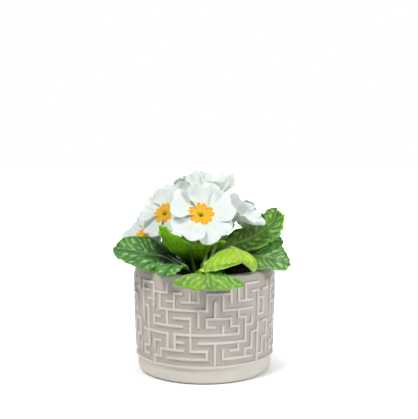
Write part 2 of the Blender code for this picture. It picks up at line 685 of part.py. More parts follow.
def stalk_sections(foot, top, facing):
    """Cross sections of a stalk that rises from its hole and bends over to meet a calyx at the given top."""
    x, y = foot
    low = Vector((x, y, (SOIL_TOP - HOLE_DEPTH + FOOT_CLEARANCE) / MM))
    neck = Vector((x, y, SOIL_TOP / MM + 2))
    up = Vector((x, y, SOIL_TOP / MM + 7))
    reach = BEND_REACH * (top - up).length
    bend = (up + Vector((0, 0, reach))).lerp(top - facing * reach, 0.5)
    points, _ = resample([low, neck, up, bend, top], STALK_STATIONS)
    frames = carried_frames(points, Vector((0.6, -0.8, 0)))
    sections = [(point, side, normal, STALK_RADIUS / MM) for point, (_, side, normal) in zip(points, frames)]
    side = frames[-1][1]
    side = (side - facing * side.dot(facing)).normalized()
    return sections, side, side.cross(facing)


def ringed_solid(name, sections, material):
    bm = bmesh.new()
    rings = []
    for point, side, normal, radius in sections:
        rings.append([])
        for k in range(STALK_SIDES):
            a = 2 * math.pi * k / STALK_SIDES
            spoke = side * math.cos(a) - normal * math.sin(a)
            rings[-1].append(bm.verts.new((point + spoke * radius) * MM))
    for a, b in zip(rings, rings[1:]):
        for k in range(STALK_SIDES):
            t = (k + 1) % STALK_SIDES
            bm.faces.new((a[k], a[t], b[t], b[k]))
    bm.faces.new(rings[0][::-1])
    bm.faces.new(rings[-1])
    bmesh.ops.triangulate(bm, faces=bm.faces)
    return object_from(name, bm, material)


def stalk_solid(name, bloom, material):
    """A green stalk from its hole in the soil to the calyx, whose socket takes the tube of the bloom."""
    facing = Vector(bloom["facing"]).normalized()
    collar = Vector(bloom["centre"]) - facing * (COLLAR_DEPTH / MM)
    cup = collar - facing * (CALYX_LENGTH / MM)
    sections, side, normal = stalk_sections(bloom["foot"], cup, facing)
    wide = CALYX_RADIUS / MM
    for share, swell in CALYX_PROFILE:
        sections.append((cup.lerp(collar, share), side, normal, swell * wide))
    tube = (TUBE_RADIUS + TUBE_CLEARANCE) / MM / math.cos(math.pi / STALK_SIDES)
    socket = collar - facing * (CALYX_SOCKET_DEPTH / MM)
    sections.append((collar, side, normal, tube))
    sections.append((socket, side, normal, tube))
    return ringed_solid(name, sections, material)


def bud_solid(name, bud, material):
    """A closed bud on its own stalk."""
    facing = Vector(bud["facing"]).normalized()
    tip = Vector(bud["tip"])
    cup = tip - facing * (BUD_LENGTH / MM)
    sections, side, normal = stalk_sections(bud["foot"], cup, facing)
    for share, swell in BUD_PROFILE:
        sections.append((cup.lerp(tip, share), side, normal, swell * BUD_RADIUS / MM))
    return ringed_solid(name, sections, material)


def main():
    clear_scene()
    pot(finish_material("pot_ceramic", (0.60, 0.56, 0.52), 0.45))
    soil(finish_material("dark_soil", (0.035, 0.024, 0.016), 0.95))
    leaf_green = finish_material("leaf_green", (0.09, 0.27, 0.05), 0.5)
    stalk_green = finish_material("stalk_green", (0.38, 0.56, 0.20), 0.55)
    petal_white = finish_material("petal_white", (0.86, 0.89, 0.87), 0.6)
    for name in LEAVES:
        leaf_solid(name, leaf_green)
    for name, bloom in BLOOMS.items():
        stalk_solid(name.replace("bloom", "stalk"), bloom, stalk_green)
        bloom_solid(name, petal_white)
    for name, bud in BUDS.items():
        bud_solid(name, bud, stalk_green)


main()
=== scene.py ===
"""A white primrose in a pot with a raised maze: the finish of every piece, and a pale stage."""

import math
import random

import bpy
import numpy as np
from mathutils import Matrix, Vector, noise


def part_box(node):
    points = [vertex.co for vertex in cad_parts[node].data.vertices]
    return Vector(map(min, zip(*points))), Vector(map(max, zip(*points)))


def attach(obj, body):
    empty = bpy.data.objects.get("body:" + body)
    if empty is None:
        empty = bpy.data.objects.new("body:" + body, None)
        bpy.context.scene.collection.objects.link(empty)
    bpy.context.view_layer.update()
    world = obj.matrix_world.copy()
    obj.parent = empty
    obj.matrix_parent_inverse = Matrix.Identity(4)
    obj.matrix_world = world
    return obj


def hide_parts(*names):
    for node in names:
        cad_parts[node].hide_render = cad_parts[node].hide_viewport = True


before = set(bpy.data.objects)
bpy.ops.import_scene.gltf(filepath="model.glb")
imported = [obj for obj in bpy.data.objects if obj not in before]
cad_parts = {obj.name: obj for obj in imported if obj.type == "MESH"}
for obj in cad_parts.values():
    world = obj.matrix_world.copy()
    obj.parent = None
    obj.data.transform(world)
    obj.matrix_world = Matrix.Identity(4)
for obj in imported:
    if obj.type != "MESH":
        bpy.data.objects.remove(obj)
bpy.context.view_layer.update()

bl_info = {
    "name": "Potted primrose",
    "version": (1, 0, 0),
    "blender": (4, 5, 0),
    "location": "View3D > Sidebar > Primrose",
    "description": "Models the looks of a white primrose in a pot with a raised maze",
    "category": "Add Mesh",
}

MM = 0.001
SOIL_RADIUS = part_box("soil")[1].x

# The soil's mean level, and the holes in it: their depth, and how far above their floor a stem ends
SOIL_TOP_MM = 76.0
HOLE_DEPTH_MM = 8.0
HOLE_GAP_MM = 0.35

# The pot's wall: its radius at two heights, how far the bars stand out where their colour starts and where
# it is full, and the heights between which the plain foot band ends
WALL_HEIGHTS = (14.0 * MM, 59.0 * MM)
WALL_RADII = (54.8 * MM, 56.2 * MM)
BAR_RELIEF = (0.3 * MM, 1.1 * MM)
BAND_END = (13.1 * MM, 12.2 * MM)


def table(fields, rows):
    """Each row's values under the names of the fields."""
    return {name: dict(zip(fields, row)) for name, row in rows.items()}


# Leaves, in millimetres and degrees: the foot on the soil, half the width, the roll about the midrib, how
# steeply the halves rise, how far the two margins curl, in radians, the waves as a share of the half width
# with their count and phase, the spoon, which is higher where the blade is widest nearer its tip, how young
# and yellow the leaf is, from 0 to 1, and the points of the midrib up to its tip
LEAVES = table(("foot", "half_width", "roll", "fold", "curl", "wave", "spoon", "young", "rib"), {
    "leaf_front_left": ((-15, -7), 16.5, 34, 0.1, (0.7, -0.3), (0.09, 2.2, 0.4), 1.9, 0.15, [
        (-28.5, -13.5, 89), (-43, -29.5, 95.8), (-56, -32.5, 99), (-69.5, -32, 101.5)]),
    "leaf_front_left_low": ((-13.5, -13), 10, 8, 0.1, (-0.2, -0.2), (0.10, 2.6, 0.9), 1.9, 0.1, [
        (-19, -25, 83), (-21, -37.5, 88), (-25.5, -47.5, 90), (-31, -60, 85)]),
    "leaf_front_upright": ((-7, -14), 28, 7, 0.1, (0.45, 0.3), (0.05, 1.5, 0.0), 2.8, 0.65, [
        (-9.5, -22, 92), (-11.5, -30, 101), (-10, -38.5, 107), (-8, -47, 106.5)]),
    "leaf_front_arch": ((7, -16), 31, 0, -0.12, (-0.85, -1.8), (0.07, 1.8, 1.2), 4.2, 0.95, [
        (11.5, -27.5, 92), (18, -37, 101), (23, -50, 103), (27.5, -61, 96)]),
    "leaf_front_low": ((-1, -19), 27, 0, 0.0, (0.1, 0.0), (0.06, 2.0, 2.0), 9.0, 0.6, [
        (0, -29.5, 81.5), (0, -46, 84.5), (2, -60, 86), (3.5, -70, 77)]),
    "leaf_right_tall": ((15.5, -2), 16.5, -50, 0.05, (0.9, -0.7), (0.06, 2.0, 0.6), 1.9, 0.5, [
        (19, -3, 96), (38, -7.5, 105.5), (54, -5.5, 117), (59, -6, 129)]),
    "leaf_right_middle": ((14, 4), 14, -30, 0.1, (-0.2, 0.1), (0.08, 2.4, 1.6), 1.9, 0.4, [
        (27, 4, 86), (42, 5, 95), (55, 6, 101), (64, 6, 101)]),
    "leaf_front_right": ((13, -8), 16.5, -27, 0.1, (-0.3, 0.1), (0.09, 2.6, 0.9), 1.9, 0.35, [
        (26.5, -10, 87), (41, -18, 92), (58, -28, 91), (66, -29, 88)]),
    "leaf_right_far": ((12, 10), 12, -20, 0.1, (-0.2, 0.2), (0.10, 2.4, 0.2), 1.9, 0.25, [
        (28, 15, 84), (44, 19, 91), (58, 22, 94), (66, 22, 92)]),
    "leaf_right_inner": ((8.3, 3.5), 10.5, -34, -0.05, (0.1, 0.6), (0.06, 2.0, 0.0), 1.9, 0.7, [
        (18, 7.5, 92), (25.5, 7, 99), (34, 12, 110.5)]),
    "leaf_left_middle": ((-13, 3), 16, 20, 0.1, (-0.2, 0.0), (0.10, 2.4, 0.8), 1.9, 0.3, [
        (-26, 7, 86), (-41, 11, 91), (-55, 14, 92), (-65, 15, 87)]),
    "leaf_left_back": ((-10, 11), 19, 8, 0.1, (-0.3, -0.2), (0.10, 2.4, 0.4), 1.9, 0.2, [
        (-24, 24, 85), (-40, 37, 92), (-53, 47, 91), (-61, 53, 84)]),
    "leaf_back": ((-1, 17.5), 20, 0, 0.1, (-0.3, -0.3), (0.10, 2.4, 1.4), 1.9, 0.35, [
        (-2, 31, 82), (-4, 46, 87), (-5, 60, 88), (-5, 70, 81)]),
    "leaf_back_right": ((7, 15), 18, -6, 0.1, (-0.2, -0.3), (0.10, 2.4, 2.4), 1.9, 0.25, [
        (15, 30, 88), (29, 45, 97), (36, 57, 98), (42, 65, 92)]),
    "leaf_back_upright": ((0, 11.5), 17, 0, 0.15, (0.3, 0.3), (0.08, 2.0, 0.6), 1.9, 0.6, [
        (-1, 21, 94), (-4, 33, 105), (-7, 44, 110), (-8, 53, 108)]),
})

# The blade's mesh and, in millimetres, half the width of its stem, the height where the stem starts to lean
# and how thick it is
BLADE_ROWS = 128
BLADE_COLUMNS = 66
STEM_MM = 1.9
LEAN_MM = 2.5
STEM_WALL_MM = 2.0

# The blade's relief in millimetres: the groove over the midrib, the crimped and down-turned margin and its
# teeth, and the lengths along the margin of a wide crimp, a narrow crimp and a tooth
GROOVE_MM = 0.8
CRIMP_MM = 0.85
DOWN_TURN_MM = 0.8
TOOTH_MM = 0.4
WIDE_CRIMP_MM = 9.5
NARROW_CRIMP_MM = 4.3
TOOTH_LENGTH_MM = 2.9

# Blooms, in millimetres and degrees: the foot of the stalk, the middle of the face and the way it faces, the
# radius, the turn of the first petal, how steeply the petals rise and how far each bends forward, in radians
BLOOMS = table(("foot", "centre", "facing", "radius", "spin", "cup", "bend"), {
    "bloom_front": (
        (-2.5, -6.5), (-2.5, -37, 128.5), (0.12, -0.68, 0.69), 27, 12, 0.1, (0.4, 0.8, 0.5, -0.2, -0.2)),
    "bloom_front_left": (
        (-6.5, -2.7), (-31.5, -16.5, 127), (-0.49, -0.74, 0.60), 22.5, 30, 0.0, (0.1, 0.5, 0.3, 0.0, 0.1)),
    "bloom_far_left": (
        (-6.5, 1), (-48.3, -0.7, 107), (-0.60, -0.62, 0.50), 21, 22, 0.1, (0.0, 0.0, 0.1, 0.0, 0.0)),
    "bloom_right": ((4, -2), (24, -10, 122), (0.45, -0.20, 0.81), 25, 24, 0.5, (0.2, 0.3, 0.2, 0.3, 0.1)),
    "bloom_top": ((-1, -2), (5, -3, 139.5), (0.03, -0.21, 0.91), 27, 72, 0.55, (0.1, 0.5, 0.2, 0.8, 0.5)),
    "bloom_top_left": (
        (-2.5, 1.7), (-22.5, 10.5, 130.5), (-0.32, -0.25, 0.90), 24, -4, 0.5, (0.1, 0.5, 0.5, 0.6, 0.3)),
    "bloom_crest": ((1.5, 3), (-5, 33, 140), (-0.12, 0.32, 0.95), 24, -6, 0.35, (0.3, 0.5, 0.2, 0.2, 0.3)),
    "bloom_back": (
        (-0.5, 6.3), (6, 49, 119), (0.06, 0.82, 0.52), 23, 18, 0.05, (0.1, -0.2, -0.3, -0.5, -0.1)),
    "bloom_back_left": (
        (-5, 6.5), (-41, 29, 121), (-0.66, 0.59, 0.50), 21.5, 36, 0.05, (-0.3, -0.1, -0.1, -0.1, -0.1)),
    "bloom_back_right": (
        (3.7, 7.5), (41, 31, 115.5), (0.72, 0.59, 0.49), 19.5, 0, 0.05, (-0.2, 0.0, -0.4, 0.3, 0.2)),
})

# The bud: the foot of its stalk, the tip and the way it points
BUDS = {
    "bud_front": dict(foot=(-9.5, -7.5), tip=(-17, -33, 119), facing=(-0.05, -0.50, 0.86)),
}

PETALS = 5
PETAL_ROWS = 30
PETAL_COLUMNS = 26
HUB_RADIUS_MM = 3.2
THROAT_RADIUS_MM = 1.3
THROAT_DEPTH_MM = 4.0
THROAT_SHARE = 0.16
COLLAR_DEPTH_MM = 2.9
CALYX_LENGTH_MM = 10.0
STALK_RADIUS_MM = 1.1
STALK_RINGS = 30
BUD_LENGTH_MM = 10.0

# The tube below a bloom: pairs of height above the middle of the face and radius, in millimetres
TUBE = [(-9.0, 1.7), (-6.0, 1.7), (-4.6, 1.6), (-4.0, 1.35)]

# The calyx and the bud, in millimetres: height above the stalk's top, radius, and how far their five teeth
# reach past or fall short of that height
CALYX = [(-0.4, 0.9, 0.0), (0.6, 1.9, 0.0), (2.2, 2.5, 0.0), (4.5, 2.9, 0.0), (6.5, 2.95, 0.2),
         (8.0, 2.85, 0.9), (8.9, 2.75, 1.7), (8.7, 2.35, 1.5), (6.0, 2.1, 0.0), (3.6, 2.05, 0.0)]
BUD_SHAPE = [(-0.4, 0.9, 0.0), (0.8, 1.7, 0.0), (2.6, 2.25, 0.0), (4.5, 2.3, 0.0), (6.5, 2.0, 0.0),
             (8.0, 1.5, 0.0), (9.2, 0.9, 0.0), (9.8, 0.35, 0.0)]

# The distances from the pot's middle between which the floor's glow rises from nothing to full
GLOW_RISE = (56 * MM, 105 * MM)

# The width of the camera's sensor in millimetres
SENSOR_WIDTH = 36.0


# Shapes of curves and sheets


def ease(low, high, x):
    x = np.clip((np.asarray(x, float) - low) / (high - low), 0.0, 1.0)
    return x * x * (3 - 2 * x)


def curve_points(points, fractions):
    """Points at the given shares of the length of a smooth curve through the given points, and its length."""
    path = [np.array(p, float) for p in points]
    ends = [path[0] * 2 - path[1], *path, path[-1] * 2 - path[-2]]
    dense = [path[0][None]]
    t = (np.arange(1, 25) / 24)[:, None]
    for a, b, c, d in zip(ends, ends[1:], ends[2:], ends[3:]):
        dense.append(0.5 * (2 * b + (c - a) * t + (2 * a - 5 * b + 4 * c - d) * t ** 2
                            + (3 * b - a - 3 * c + d) * t ** 3))
    dense = np.concatenate(dense)
    lengths = np.concatenate([[0], np.cumsum(np.linalg.norm(np.diff(dense, axis=0), axis=1))])
    wanted = np.asarray(fractions, float) * lengths[-1]
    return np.stack([np.interp(wanted, lengths, dense[:, axis]) for axis in range(3)], 1), lengths[-1]


def carried_frames(points, normal):
    """Side and normal at each point of a curve, the normal carried along without twisting."""
    sides = []
    normals = []
    previous = None
    normal = Vector(normal)
    for k in range(len(points)):
        tangent = Vector(points[min(k + 1, len(points) - 1)] - points[max(k - 1, 0)]).normalized()
        if previous is not None:
            normal = previous.rotation_difference(tangent) @ normal
        normal = (normal - tangent * normal.dot(tangent)).normalized()
        sides.append(tangent.cross(normal))
        normals.append(normal.copy())
        previous = tangent
    return np.array(sides), np.array(normals)


def soft_noise(points, scale, seed):
    """Smooth noise from -1 to 1 at each point."""
    offset = Vector((17.3 * seed, 5.1 * seed, 9.7 * seed))
    flat = np.asarray(points, float).reshape(-1, 3)
    found = np.array([noise.noise(Vector(p) * scale + offset) for p in flat])
    return found.reshape(np.asarray(points).shape[:-1])


def unit(vectors):
    return vectors / np.maximum(np.linalg.norm(vectors, axis=2, keepdims=True), 1e-9)


# Mesh tools


def deselect():
    if bpy.context.mode != "OBJECT":
        bpy.ops.object.mode_set(mode="OBJECT")
    bpy.ops.object.select_all(action="DESELECT")


def make_active(obj):
    deselect()
    obj.select_set(True)
    bpy.context.view_layer.objects.active = obj


def with_settings(thing, **settings):
    for key, value in settings.items():
        setattr(thing, key, value)
    return thing


def add_object(name, data):
    obj = bpy.data.objects.new(name, data)
    bpy.context.scene.collection.objects.link(obj)
    return obj


def edit_all(obj, *steps):
    """Runs mesh operators, each with its own settings, on the whole of a piece."""
    make_active(obj)
    bpy.ops.object.mode_set(mode="EDIT")
    for operator, settings in steps:
        bpy.ops.mesh.select_all(action="SELECT")
        operator(**settings)
    bpy.ops.object.mode_set(mode="OBJECT")


def apply_modifier(obj, name, kind, **settings):
    with_settings(obj.modifiers.new(name, kind), **settings)
    make_active(obj)
    bpy.ops.object.modifier_apply(modifier=name)


def points_of(obj):
    flat = np.zeros(len(obj.data.vertices) * 3)
    obj.data.vertices.foreach_get("co", flat)
    return flat.reshape(-1, 3)


def place_points(obj, points):
    obj.data.vertices.foreach_set("co", np.asarray(points, np.float32).ravel())
    obj.data.update()


def grid_sheet(name, rows, columns):
    """A grid primitive and, for each of its points, the row along it and the column across it."""
    deselect()
    bpy.ops.mesh.primitive_grid_add(x_subdivisions=columns, y_subdivisions=rows, size=1.0)
    obj = bpy.context.active_object
    obj.name = name
    obj.data.name = name
    x, y, _ = (points_of(obj) + 0.5).T
    return obj, np.rint(y * rows).astype(int), np.rint(x * columns).astype(int)


def ringed_tube(name, rings, sides):
    """A cylinder primitive cut into rings, with the ring and the angle of each of its points."""
    deselect()
    bpy.ops.mesh.primitive_cylinder_add(vertices=sides, radius=1.0, depth=1.0, end_fill_type="NGON")
    obj = bpy.context.active_object
    obj.name = name
    heights = [level / (rings - 1) - 0.5 for level in range(1, rings - 1)]
    edit_all(obj, *((bpy.ops.mesh.bisect, dict(plane_co=(0, 0, z), plane_no=(0, 0, 1))) for z in heights))
    x, y, z = points_of(obj).T
    return obj, np.rint((z + 0.5) * (rings - 1)).astype(int), np.arctan2(y, x)


def set_values(obj, name, values):
    """A number for each point, that the materials read."""
    layer = obj.data.attributes.new(name, "FLOAT", "POINT")
    layer.data.foreach_set("value", np.asarray(values, np.float32).ravel())


def set_map(obj, name, pairs):
    """A UV map whose two values are given for each point."""
    layer = obj.data.uv_layers.new(name=name)
    index = np.zeros(len(obj.data.loops), int)
    obj.data.loops.foreach_get("vertex_index", index)
    layer.data.foreach_set("uv", np.asarray(pairs, np.float32)[index].ravel())


def give_wall(obj, thickness, weights=None):
    """Gives a sheet its thickness and, below, its second material. Weights from 0 to 1 thin it."""
    if weights is not None:
        group = obj.vertex_groups.new(name="wall")
        for index, weight in enumerate(weights):
            group.add([index], float(weight), "REPLACE")
    apply_modifier(obj, "wall", "SOLIDIFY", thickness=thickness, offset=0.0, use_even_offset=False,
                   material_offset=1, material_offset_rim=0, vertex_group="" if weights is None else "wall")


def give_materials(obj, *materials):
    obj.data.materials.clear()
    for material in materials:
        obj.data.materials.append(material)


def joined(name, pieces):
    deselect()
    for piece in pieces:
        piece.select_set(True)
    bpy.context.view_layer.objects.active = pieces[0]
    bpy.ops.object.join()
    pieces[0].name = name
    pieces[0].data.name = name
    return pieces[0]


def finished(obj, node):
    """Faces the piece outwards and smooths it. It rides on the plant's one body and stands for its solid."""
    edit_all(obj, (bpy.ops.mesh.normals_make_consistent, dict(inside=False)))
    bpy.ops.object.shade_smooth()
    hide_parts(node)
    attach(obj, "root")


# Node tools


def feed(tree, socket, value):
    """Gives a socket its own value, or links it to another node's output."""
    if isinstance(value, bpy.types.NodeSocket):
        tree.links.new(value, socket)
    elif value is not None:
        socket.default_value = (*value, 1.0) if socket.type == "RGBA" and len(value) == 3 else value


def add_node(tree, kind, inputs, **settings):
    made = with_settings(tree.nodes.new("ShaderNode" + kind), **settings)
    for key, value in inputs.items():
        feed(tree, made.inputs[key], value)
    return made


def calculate(tree, operation, a, b=None, c=None, clamp=False):
    """One Math node; each value is a number or another node's output."""
    return add_node(tree, "Math", {0: a, 1: b, 2: c}, operation=operation, use_clamp=clamp).outputs[0]


def multiply(tree, a, b):
    return calculate(tree, "MULTIPLY", a, b)


def scaled(tree, value, factor, plus):
    return calculate(tree, "MULTIPLY_ADD", value, factor, plus)


def remap(tree, value, low, high, to_low=0.0, to_high=1.0, smooth=True):
    """Takes values from low to high to values from to_low to to_high, and those beyond to the nearer end."""
    inputs = {"Value": value, "From Min": low, "From Max": high, "To Min": to_low, "To Max": to_high}
    kind = "SMOOTHSTEP" if smooth else "LINEAR"
    return add_node(tree, "MapRange", inputs, interpolation_type=kind, clamp=True).outputs[0]


def mix(tree, factor, a, b, mode="MIX"):
    return add_node(tree, "Mix", {0: factor, 6: a, 7: b}, data_type="RGBA", blend_type=mode).outputs[2]


def layered(tree, colour, *layers):
    """A colour with others over it, each with its mask and, where it isn't a plain mix, its mode."""
    for mask, over, *mode in layers:
        colour = mix(tree, mask, colour, over, *mode)
    return colour


def object_place(tree):
    return add_node(tree, "TexCoord", {}).outputs["Object"]


def map_place(tree, name):
    return add_node(tree, "UVMap", {}, uv_map=name).outputs[0]


def attribute(tree, name):
    return add_node(tree, "Attribute", {}, attribute_name=name, attribute_type="GEOMETRY").outputs["Fac"]


def noise_texture(tree, vector, scale, detail, roughness=0.5):
    inputs = {"Vector": vector, "Scale": scale, "Detail": detail, "Roughness": roughness}
    return add_node(tree, "TexNoise", inputs)


def effect_group(name, inputs, outputs):
    tree = bpy.data.node_groups.new(name, "ShaderNodeTree")
    for label, kind, value in inputs:
        socket = tree.interface.new_socket(label, in_out="INPUT", socket_type="NodeSocket" + kind)
        if value is not None:
            socket.default_value = value
    for label, kind in outputs:
        tree.interface.new_socket(label, in_out="OUTPUT", socket_type="NodeSocket" + kind)
    return tree, tree.nodes.new("NodeGroupInput"), tree.nodes.new("NodeGroupOutput")


def effect(tree, group, inputs):
    return add_node(tree, "Group", inputs, node_tree=bpy.data.node_groups[group])


def mottling_group():
    """Soft patches and fine grain, for colour and height."""
    inputs = [("Vector", "Vector", None), ("Patch Scale", "Float", 40.0), ("Grain Scale", "Float", 900.0)]
    tree, given, out = effect_group("Mottling", inputs, [("Patches", "Float"), ("Grain", "Float")])
    where, *scales = (given.outputs[label] for label, _, _ in inputs)
    for label, scale, detail, roughness in zip(("Patches", "Grain"), scales, (4.0, 3.0), (0.55, 0.6)):
        made = noise_texture(tree, where, scale, detail, roughness)
        tree.links.new(remap(tree, made.outputs[0], 0.3, 0.7), out.inputs[label])


def mottling(tree, patch_scale, grain_scale):
    """Patches and grain over a piece."""
    inputs = {"Vector": object_place(tree), "Patch Scale": patch_scale, "Grain Scale": grain_scale}
    made = effect(tree, "Mottling", inputs)
    return made.outputs["Patches"], made.outputs["Grain"]


def vein_net_group():
    """A net of fine veins: high along the veins, low in the cells between them."""
    inputs = [("Vector", "Vector", None), ("Scale", "Float", 0.5), ("Width", "Float", 0.12)]
    tree, given, out = effect_group("Vein net", inputs, [("Veins", "Float"), ("Cells", "Float")])
    where, scale, width = (given.outputs[label] for label, _, _ in inputs)
    stir = noise_texture(tree, where, 0.35, 2.0).outputs["Color"]
    push = add_node(tree, "VectorMath", {0: stir, 1: (0.5, 0.5, 0.5)}, operation="SUBTRACT").outputs[0]
    pushed = add_node(tree, "VectorMath", {0: push, 1: (1.6, 1.6, 0.0), 2: where}, operation="MULTIPLY_ADD")
    inputs = {"Vector": pushed.outputs[0], "Scale": scale}
    cells = add_node(tree, "TexVoronoi", inputs, voronoi_dimensions="2D", feature="DISTANCE_TO_EDGE")
    edge = calculate(tree, "DIVIDE", cells.outputs["Distance"], width, clamp=True)
    tree.links.new(calculate(tree, "SUBTRACT", 1.0, edge), out.inputs["Veins"])
    tree.links.new(calculate(tree, "POWER", edge, 0.6), out.inputs["Cells"])


def new_material(name, **uniform):
    """A material with its Principled shader; uniform values go on the shader's own sockets."""
    material = bpy.data.materials.new(name)
    material.use_nodes = True
    shader = material.node_tree.nodes["Principled BSDF"]
    for key, value in uniform.items():
        shader.inputs[key.replace("_", " ")].default_value = value
    return material, material.node_tree, shader


def surface(tree, shader, height, strength, distance, **varied):
    """Links what varies over the surface to the shader, and a bump of the given height."""
    for key, value in varied.items():
        tree.links.new(value, shader.inputs[key.replace("_", " ")])
    made = add_node(tree, "Bump", {"Height": height, "Strength": strength, "Distance": distance})
    tree.links.new(made.outputs[0], shader.inputs["Normal"])


# Materials


def pot_material(settings):
    """Satin stoneware glaze, paler where it breaks over the raised bars and on the plain foot band."""
    material, tree, shader = new_material("Stoneware glaze")
    patches, grain = mottling(tree, 38.0, 1400.0)
    x, y, z = add_node(tree, "SeparateXYZ", {0: object_place(tree)}).outputs
    squares = calculate(tree, "ADD", calculate(tree, "POWER", x, 2.0), calculate(tree, "POWER", y, 2.0))
    wall = remap(tree, z, *WALL_HEIGHTS, *WALL_RADII, smooth=False)
    relief = calculate(tree, "SUBTRACT", calculate(tree, "SQRT", squares), wall)
    bar = calculate(tree, "SUBTRACT", remap(tree, relief, *BAR_RELIEF), 0.2)
    bar = calculate(tree, "MULTIPLY_ADD", patches, 0.4, bar, clamp=True)
    colour = layered(
        tree, settings.field_colour, (bar, settings.bar_colour),
        (remap(tree, z, *BAND_END), settings.band_colour),
        (remap(tree, grain, 0.12, 0.0, 0.0, 0.18), settings.speck_colour))
    surface(tree, shader, grain, 0.25, 0.3 * MM, Base_Color=colour,
            Roughness=remap(tree, patches, 0.0, 1.0, 0.36, 0.52))
    return material


def soil_material(settings):
    """Damp crumbly potting soil, from near black to brown; the near black is partly the soil's own colour and
    partly painted shade inside the pot.
    """
    material, tree, shader = new_material("Potting soil", Roughness=0.95, Specular_IOR_Level=0.2)
    patches, grain = mottling(tree, 220.0, 1500.0)
    colour = mix(tree, patches, settings.dark_colour, settings.light_colour)
    height = scaled(tree, grain, 0.5, patches)
    surface(tree, shader, height, 0.8, 1.2 * MM, Base_Color=colour)
    return material


def leaf_material(settings, under):
    """Leaf green with pale veins; the underside is paler, duller and yellower, its yellow-green partly its
    own and partly painted light shining through it, and its veins stand proud.
    """
    material, tree, shader = new_material(
        "Leaf underside" if under else "Leaf upper side", Subsurface_Weight=0.3, Subsurface_Scale=1.6 * MM,
        Subsurface_Radius=(0.6, 1.0, 0.08), Specular_IOR_Level=0.12 if under else 0.6,
        Coat_Roughness=0.22, Sheen_Weight=0.0 if under else 0.06, Sheen_Roughness=0.35,
        Sheen_Tint=(0.80, 0.95, 1.0, 1.0))
    young, vein, rim, painted_hollow_shade, painted_heart_shade = (
        attribute(tree, name) for name in ("young", "vein", "rim", "painted_hollow_shade", "painted_heart_shade"))
    net = effect(tree, "Vein net", {"Vector": map_place(tree, "blade"), "Scale": 0.62, "Width": 0.2})
    patches, grain = mottling(tree, 48.0, 2600.0)
    age = scaled(tree, patches, 0.36, -0.18)
    age = calculate(tree, "ADD", young, age, clamp=True)
    # The young underside's yellow-green is partly its own colour and partly painted light shining through the
    # blade
    if under:
        colour = mix(tree, age, settings.under_colour, settings.young_under_and_glow_colour)
    else:
        colour = mix(tree, age, settings.deep_colour, settings.young_colour)
    # Painted shade: the hollows between the wrinkles are darkened with the shade green, less on young leaves
    # and on the underside
    shade = multiply(tree, painted_hollow_shade, remap(tree, young, 1.0, 0.3, 0.25, 0.4 if under else 1.0))
    fine = multiply(tree, net.outputs["Veins"], 0.22 if under else 0.10)
    lines = calculate(tree, "MAXIMUM", multiply(tree, vein, 0.75 if under else 0.5), fine)
    colour = layered(tree, colour, (shade, settings.dark_colour, "MULTIPLY"), (lines, settings.vein_colour),
                     (multiply(tree, rim, 0.15), settings.rim_colour))
    # Painted highlight: a pale grey-green in patches on the tops of the wrinkles stands in for the gloss that
    # catches the light there, less on young leaves
    if not under:
        down = remap(tree, noise_texture(tree, object_place(tree), 260.0, 2.0).outputs[0], 0.38, 0.56)
        down = multiply(tree, attribute(tree, "crest"), down)
        down = multiply(tree, down, remap(tree, young, 0.9, 0.3, 0.0, 0.75))
        colour = mix(tree, down, colour, settings.crest_highlight_colour)
    # Painted shade: blades low in the rosette, where the leaves above shade them, are darkened
    colour = mix(tree, painted_heart_shade, colour, settings.painted_heart_shade_colour, "MULTIPLY")
    dullest, glossiest = (0.68, 0.55) if under else (0.44, 0.30)
    roughness = remap(tree, patches, 0.0, 1.0, glossiest, dullest)
    relief = scaled(tree, grain, 0.2, net.outputs["Cells"])
    if under:
        relief = calculate(tree, "SUBTRACT", 1.0, relief)
    surface(tree, shader, relief, 0.75, 0.6 * MM, Base_Color=colour,
            # In the painted shade the blade is made rough and loses its coat, so no gloss shows there
            Roughness=calculate(tree, "MAXIMUM", roughness, painted_heart_shade),
            Coat_Weight=multiply(tree, calculate(tree, "SUBTRACT", 1.0, painted_heart_shade), 0.0 if under else 0.35))
    return material


